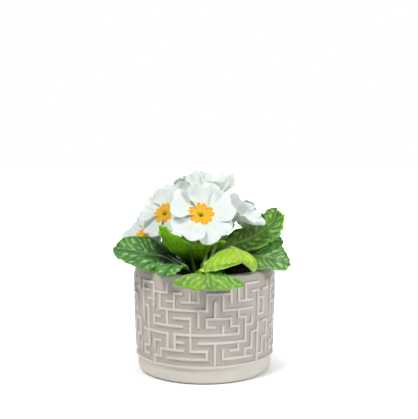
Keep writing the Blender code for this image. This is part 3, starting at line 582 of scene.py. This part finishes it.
def petal_material(settings, under):
    """White petals with faint veins, an orange star eye on the upper side and a greenish throat."""
    material, tree, shader = new_material(
        "Petal underside" if under else "Petal upper side", Roughness=0.6, Specular_IOR_Level=0.3,
        Subsurface_Weight=0.35, Subsurface_Scale=2.0 * MM, Subsurface_Radius=(1.0, 1.0, 0.9))
    where = map_place(tree, "petal")
    side, along, _ = add_node(tree, "SeparateXYZ", {0: where}).outputs
    across = calculate(tree, "ABSOLUTE", side)
    stretched = add_node(tree, "Mapping", {"Vector": where, "Scale": (9.0, 1.2, 1.0)}).outputs[0]
    rays = noise_texture(tree, stretched, 2.2, 3.0, 0.6).outputs[0]
    streak = remap(tree, rays, 0.38, 0.66)
    faint = multiply(tree, streak, 0.45)
    throat = remap(tree, along, 0.62, 0.18, 0.0, 0.7 if under else 0.45)
    # The faint veins are partly real veins and partly painted shade in the petals' soft creases
    colour = layered(tree, settings.petal_colour, (faint, settings.petal_shade_colour),
                     (throat, settings.throat_colour))
    if not under:
        stir = scaled(tree, rays, 0.16, -0.08)
        lobe = calculate(tree, "POWER", across, 2.6)
        lobe = scaled(tree, lobe, -0.10, settings.eye_share)
        notch = multiply(tree, remap(tree, across, 0.26, 0.0), 0.06)
        reach = calculate(tree, "ADD", calculate(tree, "SUBTRACT", lobe, notch), stir)
        inside = calculate(tree, "SUBTRACT", reach, along)
        rim = settings.eye_rim_colour
        eye = layered(tree, settings.eye_colour, (remap(tree, inside, 0.12, 0.0), rim), (faint, rim),
                      (remap(tree, along, 0.0, -0.12), settings.eye_centre_colour))
        halo = remap(tree, inside, -0.09, 0.0, 0.0, 0.35)
        star = remap(tree, inside, -0.004, 0.010)
        colour = layered(tree, colour, (halo, settings.halo_colour), (star, eye))
    height = scaled(tree, mottling(tree, 90.0, 2400.0)[1], 0.2, streak)
    surface(tree, shader, height, 0.35, 0.3 * MM, Base_Color=colour)
    return material


def stalk_material(settings):
    """Pale green downy stalks, with a paler calyx whose ribs are a fresher green."""
    material, tree, shader = new_material("Stalk green", Roughness=0.6, Subsurface_Weight=0.2,
                                          Subsurface_Scale=1.5 * MM, Subsurface_Radius=(0.8, 1.0, 0.3))
    patches, grain = mottling(tree, 120.0, 3000.0)
    colour = layered(tree, settings.stalk_colour, (attribute(tree, "vein"), settings.calyx_colour),
                     (multiply(tree, patches, 0.4), settings.stalk_shade_colour))
    surface(tree, shader, grain, 0.5, 0.3 * MM, Base_Color=colour)
    return material


# Settings


def a_colour(name, description, default):
    return bpy.props.FloatVectorProperty(
        name=name, description=description, subtype="COLOR", size=3, min=0.0, max=1.0, default=default)


def a_number(name, description, default, lowest=0.0, **more):
    return bpy.props.FloatProperty(name=name, description=description, default=default, min=lowest, **more)


def a_length(name, description, default):
    return a_number(name, description, default, subtype="DISTANCE", unit="LENGTH")


def an_angle(name, description, degrees):
    turn = math.radians(degrees)
    return a_number(name, description, turn, -math.pi, subtype="ANGLE", unit="ROTATION")


class PotSettings(bpy.types.PropertyGroup):
    bar_colour: a_colour("Bars", "Glaze on the raised bars", (0.61, 0.553, 0.506))
    field_colour: a_colour("Field", "Glaze between the bars", (0.435, 0.39, 0.356))
    band_colour: a_colour("Foot band", "Glaze on the plain band at the foot", (0.625, 0.59, 0.53))
    speck_colour: a_colour("Specks", "Fine dark specks in the glaze", (0.25, 0.21, 0.18))
    rounding: a_length("Rounding", "How far the glaze rounds each edge", 0.42 * MM)


class SoilSettings(bpy.types.PropertyGroup):
    # Partly painted shade: darker than damp soil itself, for the shade inside the pot
    dark_colour: a_colour("Dark", "Damp soil", (0.012, 0.008, 0.006))
    light_colour: a_colour("Light", "Drier crumbs", (0.055, 0.037, 0.024))
    crumb_size: a_length("Crumb size", "Radius of the largest crumbs", 1.5 * MM)
    crumbs: bpy.props.IntProperty(name="Crumbs", description="Loose crumbs on the soil", default=260, min=0)


class LeafSettings(bpy.types.PropertyGroup):
    deep_colour: a_colour("Mature", "Upper side of a mature leaf", (0.055, 0.33, 0.006))
    young_colour: a_colour("Young", "Upper side of a young leaf", (0.52, 0.76, 0.002))
    under_colour: a_colour("Underside", "Underside of a mature leaf", (0.12, 0.36, 0.015))
    # Partly painted light: brightened for light shining through the young blade
    young_under_and_glow_colour: a_colour("Young underside", "Underside of a young leaf", (0.42, 0.86, 0.002))
    # Painted shade for the hollows between the wrinkles
    dark_colour: a_colour("Shade", "Green that darkens the hollows", (0.16, 0.36, 0.22))
    # Painted highlight on the tops of the wrinkles, for the gloss that catches the light there
    crest_highlight_colour: a_colour("Crests", "Grey-green down on the tops of the wrinkles", (0.46, 0.74, 0.44))
    # Painted shade for the blades low in the rosette
    painted_heart_shade_colour: a_colour("Heart", "Shade of the blades low in the rosette", (0.02, 0.045, 0.02))
    vein_colour: a_colour("Veins", "Midrib and veins", (0.34, 0.56, 0.13))
    rim_colour: a_colour("Margin", "Thin edge of the blade", (0.26, 0.54, 0.04))
    pucker: a_length("Pucker", "Height of the wrinkles between the veins", 1.9 * MM)
    vein_spacing: a_length("Vein spacing", "Distance between side veins", 6.4 * MM)
    thickness: a_length("Thickness", "Thickness of the blade", 0.62 * MM)


class BloomSettings(bpy.types.PropertyGroup):
    petal_colour: a_colour("Petals", "White of the petals", (0.68, 0.73, 0.705))
    # Partly painted shade: faint veins, darkened for the soft shade in the petals' creases
    petal_shade_colour: a_colour("Petal veins", "Faint veins of the petals", (0.50, 0.58, 0.54))
    throat_colour: a_colour("Throat", "Tint of the petals towards the throat", (0.66, 0.74, 0.50))
    halo_colour: a_colour("Halo", "Tint round the eye", (0.80, 0.76, 0.30))
    eye_colour: a_colour("Eye", "Yellow of the star", (0.74, 0.42, 0.006))
    eye_rim_colour: a_colour("Eye rim", "Orange at the star's edge", (0.78, 0.28, 0.004))
    eye_centre_colour: a_colour("Eye centre", "Green-yellow at the tube's mouth", (0.50, 0.44, 0.01))
    stalk_colour: a_colour("Stalks", "Flower stalks", (0.36, 0.52, 0.16))
    calyx_colour: a_colour("Calyx", "Cup that holds the petals", (0.30, 0.52, 0.10))
    stalk_shade_colour: a_colour("Stalk shade", "Darker patches of the stalks", (0.20, 0.34, 0.08))
    eye_share: a_number(
        "Eye size", "Share of a petal's length that the star covers", 0.315, max=1.0, subtype="FACTOR")
    frill: a_length("Frill", "Height of the ruffles at the petals' edge", 1.35 * MM)
    thickness: a_length("Thickness", "Thickness of a petal", 0.45 * MM)


class StageSettings(bpy.types.PropertyGroup):
    floor_colour: a_colour("Floor", "Pale floor", (0.92, 0.92, 0.92))
    floor_glow: a_number("Floor glow", "Light that the floor gives off away from the pot", 0.75)
    key_power: a_number("Key light", "Power of the small light at the upper left", 10.0)
    fill_power: a_number("Fill light", "Power of the light at the right", 7.0)
    back_power: a_number("Back light", "Power of the wide light behind", 14.0)
    high_sky: a_number("High sky", "Strength of the even light from above", 0.48)
    low_sky: a_number("Low sky", "Strength of the even light from below", 0.12)
    lens: a_number("Lens", "Focal length", 69.6, 1.0, subtype="DISTANCE_CAMERA")
    camera_place: bpy.props.FloatVectorProperty(
        name="Camera", description="Where the camera stands", subtype="TRANSLATION", unit="LENGTH", size=3,
        default=(0.0, -0.650, 0.197))
    pitch: an_angle("Pitch", "How far the camera looks down", 6.03)
    yaw: an_angle("Yaw", "How far the camera turns to the right", 0.328)


# Pot


class PRIMROSE_OT_pot(bpy.types.Operator):
    """Rounds the pot's edges as thick glaze does, and glazes it"""

    bl_idname = "primrose.pot"
    bl_label = "Pot"

    def execute(self, context):
        settings = context.scene.primrose_pot
        obj = add_object("pot_glazed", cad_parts["pot"].data.copy())
        edit_all(obj, (bpy.ops.mesh.remove_doubles, dict(threshold=0.01 * MM)),
                 (bpy.ops.mesh.dissolve_limited, dict(angle_limit=math.radians(1))))
        apply_modifier(obj, "rounding", "BEVEL", width=settings.rounding, segments=2, limit_method="ANGLE",
                       angle_limit=math.radians(30), use_clamp_overlap=True)
        bpy.ops.object.shade_smooth_by_angle(angle=math.radians(35))
        give_materials(obj, pot_material(settings))
        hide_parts("pot")
        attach(obj, "root")
        return {"FINISHED"}


# Soil


class PRIMROSE_OT_soil(bpy.types.Operator):
    """Lays a rough bed of soil with loose crumbs in the pot"""

    bl_idname = "primrose.soil"
    bl_label = "Soil"

    def execute(self, context):
        settings = context.scene.primrose_soil
        steps = 120
        obj, row, column = grid_sheet("soil_bed", steps, steps)
        x = 2 * column / steps - 1
        y = 2 * row / steps - 1
        disc = np.stack([x * np.sqrt(1 - y * y / 2), y * np.sqrt(1 - x * x / 2), np.zeros(len(x))], 1)
        disc = disc * SOIL_RADIUS
        lumps = sum(soft_noise(disc, scale, seed) * height
                    for scale, seed, height in ((140.0, 3, 1.1), (420.0, 5, 0.5), (1300.0, 8, 0.25)))
        disc[:, 2] = (SOIL_TOP_MM - 0.6 + lumps) * MM
        place_points(obj, disc)
        down = {"value": (0, 0, -6 * MM)}
        edit_all(obj, (bpy.ops.mesh.extrude_region_move, dict(TRANSFORM_OT_translate=down)))
        rng = random.Random(11)
        pieces = [obj]
        for _ in range(settings.crumbs):
            deselect()
            reach = (SOIL_RADIUS - 3 * MM) * math.sqrt(rng.random())
            turn = rng.uniform(0, 2 * math.pi)
            size = settings.crumb_size * rng.uniform(0.35, 1.0)
            spot = (reach * math.cos(turn), reach * math.sin(turn), (SOIL_TOP_MM - 0.2) * MM + 0.2 * size)
            bpy.ops.mesh.primitive_ico_sphere_add(subdivisions=1, radius=size, location=spot)
            crumb = context.active_object
            for vertex in crumb.data.vertices:
                vertex.co = vertex.co * rng.uniform(0.7, 1.15) + Vector(spot)
            crumb.location = (0, 0, 0)
            pieces.append(crumb)
        bed = joined("soil_bed", pieces)
        give_materials(bed, soil_material(settings))
        finished(bed, "soil")
        return {"FINISHED"}


# Leaves


def leaf_width(t, spoon):
    """Half width of the blade at share t of its length, as a share of the widest half width."""
    stem = 0.09 * (1 - ease(0.93, 1.0, t))
    return stem + 0.91 * np.maximum(0.0, np.sin(math.pi * np.clip(t, 0, 1) ** spoon)) ** 0.65


def leaf_grid(leaf):
    """Points of the blade's middle surface, how far each is along and across it, and how open it is there."""
    x, y = leaf["foot"]
    path = [(x, y, SOIL_TOP_MM - HOLE_DEPTH_MM + HOLE_GAP_MM), (x, y, SOIL_TOP_MM + LEAN_MM), *leaf["rib"]]
    _, length = curve_points(path, [1.0])
    start = (HOLE_DEPTH_MM - HOLE_GAP_MM + LEAN_MM) / length
    t = np.concatenate([[0.0], np.linspace(0.0, 1.0, BLADE_ROWS)])
    ribs, _ = curve_points(path, np.concatenate([[0.0], start + (1 - start) * t[1:]]))
    out = np.array((path[-1][0] - x, path[-1][1] - y, 0.0))
    side, normal = carried_frames(ribs, -out / np.linalg.norm(out))
    opened = ease(0.0, 0.45, t)
    shape = leaf_width(t, leaf["spoon"]) * ease(-0.25, 0.4, t)
    width = STEM_MM + (leaf["half_width"] - STEM_MM) * shape
    width *= np.sqrt(np.clip((1.0 - t) / 0.012, 0.0, 1.0)) * 0.97 + 0.03
    width[:2] = STEM_MM
    roll = np.radians(leaf["roll"]) * opened
    across = side * np.cos(roll)[:, None] + normal * np.sin(roll)[:, None]
    up = normal * np.cos(roll)[:, None] - side * np.sin(roll)[:, None]
    u = np.linspace(-1.0, 1.0, BLADE_COLUMNS + 1)
    reach = np.abs(u)
    plus, minus = leaf["curl"]
    curl = opened[:, None] * np.where(u > 0, plus, minus)[None]
    lateral, lift = np.zeros((2, len(t), len(u)))
    steps = 12
    for step in range(steps):
        angle = leaf["fold"] * opened[:, None] + curl * ((step + 0.5) / steps * reach[None]) ** 1.5
        lateral += reach / steps * np.cos(angle)
        lift += reach / steps * np.sin(angle)
    height, count, phase = leaf["wave"]
    turn = 2 * math.pi * (count * t[:, None] + 0.37 * (u[None] < 0)) + phase
    lift += height * reach[None] ** 1.5 * np.sin(turn) * opened[:, None]
    sideways = (np.sign(u)[None] * lateral * width[:, None])[..., None] * across[:, None]
    points = ribs[:, None] + sideways + (lift * width[:, None])[..., None] * up[:, None]
    along = np.broadcast_to((t * length)[:, None], lift.shape)
    return points, along, u[None] * width[:, None], opened[:, None] * np.ones_like(lift)


def cell_chance(a, b):
    """A number from 0 to 1 for each cell of the net of veins, always the same for the same cell."""
    return np.mod(np.sin(12.9898 * a + 78.233 * b) * 4375.85, 1.0)


def leaf_relief(along, across, spacing, seed):
    """Height of the blade between its veins, how far each point is from a side vein, and a slow drift."""
    flat = np.stack([along, across, np.full_like(along, 13.0 * seed)], 2)
    side = np.sign(across) + 3.0 * seed
    lean = np.abs(across) * 0.75 + across ** 2 * 0.012
    veins = (along - lean) / spacing + np.where(across > 0, 0.0, 0.5) + 0.35 * soft_noise(flat, 0.09, seed)
    ladder = np.abs(across) / (0.85 * spacing) + 0.45 * soft_noise(flat, 0.2, seed + 40)
    ladder = ladder + cell_chance(np.floor(veins), side)
    ridge = np.abs(np.sin(math.pi * veins))
    rung = np.abs(np.sin(math.pi * ladder))
    puff = 0.6 + 0.7 * cell_chance(np.floor(veins) + 0.37 * side, np.floor(ladder))
    small = np.abs(np.sin(math.pi * (2.3 * veins + 0.4 * soft_noise(flat, 0.5, seed + 60))))
    small = small * np.abs(np.sin(math.pi * (2.1 * ladder + 0.3 * soft_noise(flat, 0.5, seed + 70))))
    height = ridge ** 0.6 * (0.4 + 0.6 * rung ** 0.65) * puff + 0.16 * small * ridge
    return height, ridge, soft_noise(flat, 0.09, seed + 20)


def leaf_piece(name, leaf, settings, materials, seed):
    obj, row, column = grid_sheet(name.replace("leaf", "blade"), BLADE_ROWS, BLADE_COLUMNS)
    grid, along, across, opened = leaf_grid(leaf)
    share = along / along.max()
    edge = np.abs(np.linspace(-1, 1, BLADE_COLUMNS + 1))[None] * np.ones((BLADE_ROWS + 1, 1))
    bulge, ridge, drift = leaf_relief(along, across, settings.vein_spacing / MM, seed)
    away = 1 - np.exp(-(across / 2.2) ** 2)
    bulge = bulge * away
    fade = ease(1.0, 0.84, edge) * opened
    size = settings.pucker / MM * (0.5 + 0.5 * ease(6.0, 16.0, leaf["half_width"]))
    lift = size * (bulge - 0.45) * fade
    lift -= GROOVE_MM * np.exp(-(across / 1.5) ** 2) * opened
    crimp = np.sin(
        2 * math.pi * (along / WIDE_CRIMP_MM + 0.9 * drift) + 2.1 * seed + np.where(across > 0, 0, 1.7))
    crimp += 0.35 * np.sin(2 * math.pi * (along / NARROW_CRIMP_MM + 1.3 * drift) + 1.3 * seed)
    lift += CRIMP_MM * crimp * ease(0.60, 1.0, edge) * opened
    lift -= DOWN_TURN_MM * ease(0.93, 1.0, edge) * opened
    normals = unit(np.cross(np.gradient(grid, axis=0), np.gradient(grid, axis=1)))
    outward = unit(np.gradient(grid, axis=1) * np.sign(across)[..., None])
    teeth = TOOTH_MM * np.abs(np.sin(math.pi * (along / TOOTH_LENGTH_MM + 0.5 * drift) + seed))
    teeth = teeth * ease(0.9, 1.0, edge) * opened
    shaped = grid + normals * lift[..., None] - outward * teeth[..., None]
    index = (row, column)
    place_points(obj, shaped[index] * MM)
    set_map(obj, "blade", np.stack([across[index], along[index]], 1))
    side_line = np.clip(1 - ridge / (0.10 + 0.12 * (1 - edge)), 0, 1) * (1 - 0.6 * edge) * opened * away
    middle = np.exp(-(across / (0.45 + 1.2 * (1 - share))) ** 2)
    # Painted shade: strongest on blades near the pot's middle and low down, weaker over the midrib
    from_middle = np.hypot(grid[..., 0], grid[..., 1])
    painted_heart_shade = ease(50.0, 36.0, from_middle) * ease(101.0, 88.0, grid[..., 2])
    values = {
        "vein": np.maximum(np.maximum(side_line, middle), 1 - opened),
        "rim": ease(0.92, 1.0, edge),
        # Painted shade in the hollows between the wrinkles
        "painted_hollow_shade": (1.15 - bulge).clip(0, 1) * fade,
        # Painted highlight on the tops of the wrinkles
        "crest": ((bulge - 0.45) / 0.35).clip(0, 1) * fade,
        "painted_heart_shade": painted_heart_shade * (1 - 0.9 * middle),
        "young": leaf["young"] * (1 - 0.35 * edge ** 2),
    }
    for label, value in values.items():
        set_values(obj, label, value[index])
    give_materials(obj, *materials)
    blade = settings.thickness / (STEM_WALL_MM * MM)
    stem = 1 - ease(0.0, 0.35, np.concatenate([[0.0], np.linspace(0, 1, BLADE_ROWS)]))[:, None]
    rib = 0.55 * np.exp(-(across / 1.3) ** 2) * (1 - share)
    weights = np.clip(blade + np.maximum(rib, stem * (1 - blade)), 0, 1)
    give_wall(obj, STEM_WALL_MM * MM, weights[index])
    finished(obj, name)


class PRIMROSE_OT_leaves(bpy.types.Operator):
    """Grows the wrinkled leaves of the rosette"""

    bl_idname = "primrose.leaves"
    bl_label = "Leaves"

    def execute(self, context):
        settings = context.scene.primrose_leaf
        materials = [leaf_material(settings, under) for under in (False, True)]
        for seed, (name, leaf) in enumerate(LEAVES.items(), 1):
            leaf_piece(name, leaf, settings, materials, seed)
        return {"FINISHED"}


# Blooms


def bloom_axes(facing):
    """The way a bloom faces and two directions across its face."""
    facing = Vector(facing).normalized()
    right = Vector((0, 0, 1)).cross(facing)
    right = right.normalized() if right.length > 0.05 else Vector((1, 0, 0))
    return np.array(facing), np.array(right), np.array(facing.cross(right))


def petal_span(v):
    """Half the angle that a petal takes at share v of its length, in degrees."""
    return 36 - 1.5 * ease(0.0, 0.3, v) + 10 * ease(0.34, 0.7, v) - 3 * ease(0.7, 1.0, v)


def petal_grid(bloom, petal, frill):
    """Points of one petal in the bloom's own axes, from the throat to the frilled edge, and its u and v."""
    v = np.linspace(-THROAT_SHARE, 1.0, PETAL_ROWS + 1)[:, None]
    u = np.linspace(-1.0, 1.0, PETAL_COLUMNS + 1)[None]
    outer = np.maximum(v, 0.0)
    notch = 0.10 * np.exp(-(u / 0.2) ** 2)
    length = bloom["radius"] * (1 - 0.16 * np.abs(u) ** 4 - notch) - HUB_RADIUS_MM
    theta = np.radians(bloom["spin"] + 360 / PETALS * petal + u * petal_span(outer))
    cup = bloom["cup"]
    bend = bloom["bend"][petal] or 1e-4
    steep = cup + bend * outer
    out = length * (np.sin(steep) - np.sin(cup)) / bend
    rise = length * (np.cos(cup) - np.cos(steep)) / bend
    seed = petal + sum(bloom["centre"])
    # One edge over the next petal, broad waves round the bloom, three sizes of ruffle, the crease down the
    # middle, the edge that turns down, and fine veins
    lift = 1.1 * u * ease(0.0, 0.4, outer)
    lift += 1.1 * outer ** 2 * np.sin(3 * theta + 2.2 * petal)
    lift += 1.3 * frill * outer ** 2.2 * np.sin(3.4 * u + 2.3 * seed)
    lift += frill * outer ** 3.5 * np.sin(6.2 * u + 1.7 * seed + 1.5 * outer) * (0.5 + 0.5 * np.abs(u))
    lift += 0.35 * frill * outer ** 6 * np.sin(12 * u + 2.9 * seed + 3 * outer)
    lift -= 0.9 * np.exp(-(u / 0.16) ** 2) * ease(0.1, 0.7, outer)
    lift -= 0.8 * ease(0.86, 1.0, outer) * (0.5 + 0.5 * np.sin(2.6 * u + seed))
    lift += 0.08 * np.cos(34 * u) * ease(0.15, 0.5, outer)
    inner = np.clip(-v / THROAT_SHARE, 0.0, 1.0)
    r = HUB_RADIUS_MM + out - lift * np.sin(steep) - (HUB_RADIUS_MM - THROAT_RADIUS_MM) * np.sqrt(inner)
    z = rise + lift * np.cos(steep) - THROAT_DEPTH_MM * inner ** 1.5
    both = np.ones_like(r)
    return np.stack([r * np.cos(theta) * both, r * np.sin(theta) * both, z], 2), u * both, v * both


def bloom_piece(name, bloom, settings, materials):
    facing, right, upward = bloom_axes(bloom["facing"])
    turn = np.stack([right, upward, facing])
    centre = np.array(bloom["centre"], float)
    pieces = []
    for petal in range(PETALS):
        obj, row, column = grid_sheet("petal", PETAL_ROWS, PETAL_COLUMNS)
        grid, u, v = petal_grid(bloom, petal, settings.frill / MM)
        place_points(obj, ((grid @ turn + centre) * MM)[row, column])
        set_map(obj, "petal", np.stack([u, v], 2)[row, column])
        give_materials(obj, *reversed(materials))
        give_wall(obj, settings.thickness)
        pieces.append(obj)
    tube, ring, angle = ringed_tube("tube", len(TUBE), 20)
    height, radius = np.array(TUBE)[ring].T
    points = np.stack([radius * np.cos(angle), radius * np.sin(angle), height], 1)
    place_points(tube, (points @ turn + centre) * MM)
    set_map(tube, "petal", np.tile([[0.5, -THROAT_SHARE]], (len(ring), 1)))
    give_materials(tube, materials[0])
    flower = joined(name.replace("bloom", "flower"), [*pieces, tube])
    finished(flower, name)


class PRIMROSE_OT_blooms(bpy.types.Operator):
    """Opens the white blooms with their orange star eyes"""

    bl_idname = "primrose.blooms"
    bl_label = "Blooms"

    def execute(self, context):
        settings = context.scene.primrose_bloom
        materials = [petal_material(settings, under) for under in (False, True)]
        for name, bloom in BLOOMS.items():
            bloom_piece(name, bloom, settings, materials)
        return {"FINISHED"}


# Stalks and bud


def stalk_path(foot, top, facing):
    x, y = foot
    heights = (HOLE_GAP_MM - HOLE_DEPTH_MM, 2.0, 7.0)
    low, neck, up = (np.array((x, y, SOIL_TOP_MM + height)) for height in heights)
    lean = 0.35 * np.linalg.norm(top - up)
    bend = (up + (0, 0, lean) + top - facing * lean) / 2
    return curve_points([low, neck, up, bend, top], np.linspace(0, 1, STALK_RINGS))[0]


def stalk_piece(name, node, foot, top, facing, head, material):
    """A stalk, and on it the head, either a calyx or a bud, with five ribs or teeth."""
    path = stalk_path(foot, top, facing)
    side, normal = carried_frames(path, (0.6, -0.8, 0.0))
    stem, ring, angle = ringed_tube(name, STALK_RINGS, 14)
    bumps = 1 + 0.06 * np.cos(5 * angle)
    spread = side[ring] * np.cos(angle)[:, None] - normal[ring] * np.sin(angle)[:, None]
    place_points(stem, (path[ring] + spread * (STALK_RADIUS_MM * bumps)[:, None]) * MM)
    set_values(stem, "vein", np.zeros(len(ring)))
    cup, ring, angle = ringed_tube(name, len(head), 40)
    _, right, upward = bloom_axes(facing)
    height, radius, tooth = np.array(head)[ring].T
    rib = np.abs(np.cos(2.5 * angle))
    radius = radius * (0.86 + 0.14 * rib)
    height = height + tooth * (rib ** 1.5 - 0.5)
    points = top + facing * height[:, None]
    points = points + (right * np.cos(angle)[:, None] + upward * np.sin(angle)[:, None]) * radius[:, None]
    place_points(cup, points * MM)
    set_values(cup, "vein", rib)
    obj = joined(name, [stem, cup])
    give_materials(obj, material)
    finished(obj, node)


class PRIMROSE_OT_stalks(bpy.types.Operator):
    """Raises the flower stalks with their cups, and the closed bud"""

    bl_idname = "primrose.stalks"
    bl_label = "Stalks and bud"

    def execute(self, context):
        material = stalk_material(context.scene.primrose_bloom)
        for name, bloom in BLOOMS.items():
            facing = bloom_axes(bloom["facing"])[0]
            top = np.array(bloom["centre"], float) - facing * (COLLAR_DEPTH_MM + CALYX_LENGTH_MM)
            stem, node = (name.replace("bloom", word) for word in ("stem", "stalk"))
            stalk_piece(stem, node, bloom["foot"], top, facing, CALYX, material)
        for name, bud in BUDS.items():
            facing = bloom_axes(bud["facing"])[0]
            top = np.array(bud["tip"], float) - facing * BUD_LENGTH_MM
            stem = name.replace("bud", "closed_bud")
            stalk_piece(stem, name, bud["foot"], top, facing, BUD_SHAPE, material)
        return {"FINISHED"}


# Stage


def soft_light(name, place, target, size, power, colour):
    light = bpy.data.lights.new(name, "AREA")
    obj = add_object(name, with_settings(light, shape="SQUARE", size=size, energy=power, color=colour))
    obj.location = place
    obj.rotation_euler = (Vector(target) - Vector(place)).to_track_quat("-Z", "Y").to_euler()


def floor_material(settings):
    """A pale floor that glows to white where the camera sees it, away from the pot."""
    material, tree, shader = new_material("Pale floor", Roughness=0.9, Emission_Strength=settings.floor_glow)
    place = object_place(tree)
    tone = settings.floor_colour
    soft = noise_texture(tree, place, 3.0, 2.0).outputs[0]
    colour = mix(tree, soft, tone, [0.985 * value for value in tone])
    tree.links.new(colour, shader.inputs["Base Color"])
    distance = add_node(tree, "VectorMath", {0: place}, operation="LENGTH").outputs["Value"]
    seen = add_node(tree, "LightPath", {}).outputs["Is Camera Ray"]
    glow = multiply(tree, remap(tree, distance, *GLOW_RISE), seen)
    glow = mix(tree, glow, (0.0, 0.0, 0.0), (1.0, 1.0, 1.0))
    tree.links.new(glow, shader.inputs["Emission Color"])
    return material


def even_light(settings):
    """A white sky, brighter from above and from behind. The camera itself sees it plain white."""
    world = bpy.data.worlds.new("Even light")
    world.use_nodes = True
    sky = world.node_tree
    background = sky.nodes["Background"]
    background.inputs["Color"].default_value = (1.0, 1.0, 1.0, 1.0)
    aim = add_node(sky, "TexCoord", {}).outputs["Generated"]
    _, y, z = add_node(sky, "SeparateXYZ", {0: aim}).outputs
    strength = remap(sky, z, -0.3, 0.7, settings.low_sky, settings.high_sky)
    strength = multiply(sky, strength, remap(sky, y, -0.9, 0.2, 0.35, 1.0))
    seen = add_node(sky, "LightPath", {}).outputs["Is Camera Ray"]
    sky.links.new(calculate(sky, "MAXIMUM", seen, strength), background.inputs["Strength"])
    return world


class PRIMROSE_OT_stage(bpy.types.Operator):
    """Sets a pale floor, soft studio light and the camera"""

    bl_idname = "primrose.stage"
    bl_label = "Stage"

    def execute(self, context):
        scene = context.scene
        settings = scene.primrose_stage
        deselect()
        bpy.ops.mesh.primitive_plane_add(size=6.0, location=(0, 0, 0))
        floor = context.active_object
        floor.name = "floor"
        edit_all(floor, (bpy.ops.mesh.subdivide, dict(number_cuts=1)))
        give_materials(floor, floor_material(settings))
        scene.world = even_light(settings)
        soft_light("key", (-0.42, -0.56, 1.05), (0, 0, 0.08), 0.25, settings.key_power, (1.0, 0.99, 0.97))
        soft_light("fill", (0.75, -0.65, 0.7), (0, 0, 0.10), 0.4, settings.fill_power, (0.97, 0.98, 1.0))
        soft_light("back", (0.0, 1.1, 0.55), (0, 0, 0.10), 1.5, settings.back_power, (0.94, 0.98, 1.0))
        lens = dict(lens=settings.lens, sensor_width=SENSOR_WIDTH)
        camera = add_object("camera", with_settings(bpy.data.cameras.new("camera"), **lens))
        camera.location = settings.camera_place
        camera.rotation_euler = (math.radians(90) - settings.pitch, 0.0, -settings.yaw)
        scene.camera = camera
        scene.view_settings.view_transform = "Standard"
        return {"FINISHED"}


OPERATORS = (PRIMROSE_OT_stage, PRIMROSE_OT_pot, PRIMROSE_OT_soil, PRIMROSE_OT_leaves, PRIMROSE_OT_stalks,
             PRIMROSE_OT_blooms)


class PRIMROSE_PT_panel(bpy.types.Panel):
    """Lists the pieces of the potted primrose"""

    bl_label = "Potted primrose"
    bl_idname = "PRIMROSE_PT_panel"
    bl_space_type = "VIEW_3D"
    bl_region_type = "UI"
    bl_category = "Primrose"

    def draw(self, context):
        for operator in OPERATORS:
            self.layout.operator(operator.bl_idname)


SETTINGS = {
    "primrose_pot": PotSettings,
    "primrose_soil": SoilSettings,
    "primrose_leaf": LeafSettings,
    "primrose_bloom": BloomSettings,
    "primrose_stage": StageSettings,
}
CLASSES = (*SETTINGS.values(), *OPERATORS, PRIMROSE_PT_panel)


def register():
    for cls in CLASSES:
        bpy.utils.register_class(cls)
    for name, cls in SETTINGS.items():
        setattr(bpy.types.Scene, name, bpy.props.PointerProperty(type=cls))


def unregister():
    for name in SETTINGS:
        delattr(bpy.types.Scene, name)
    for cls in reversed(CLASSES):
        bpy.utils.unregister_class(cls)


def main():
    register()
    mottling_group()
    vein_net_group()
    bpy.ops.primrose.stage()
    bpy.ops.primrose.pot()
    bpy.ops.primrose.soil()
    bpy.ops.primrose.leaves()
    bpy.ops.primrose.stalks()
    bpy.ops.primrose.blooms()
    bpy.context.view_layer.update()


if __name__ == "__main__":
    main()
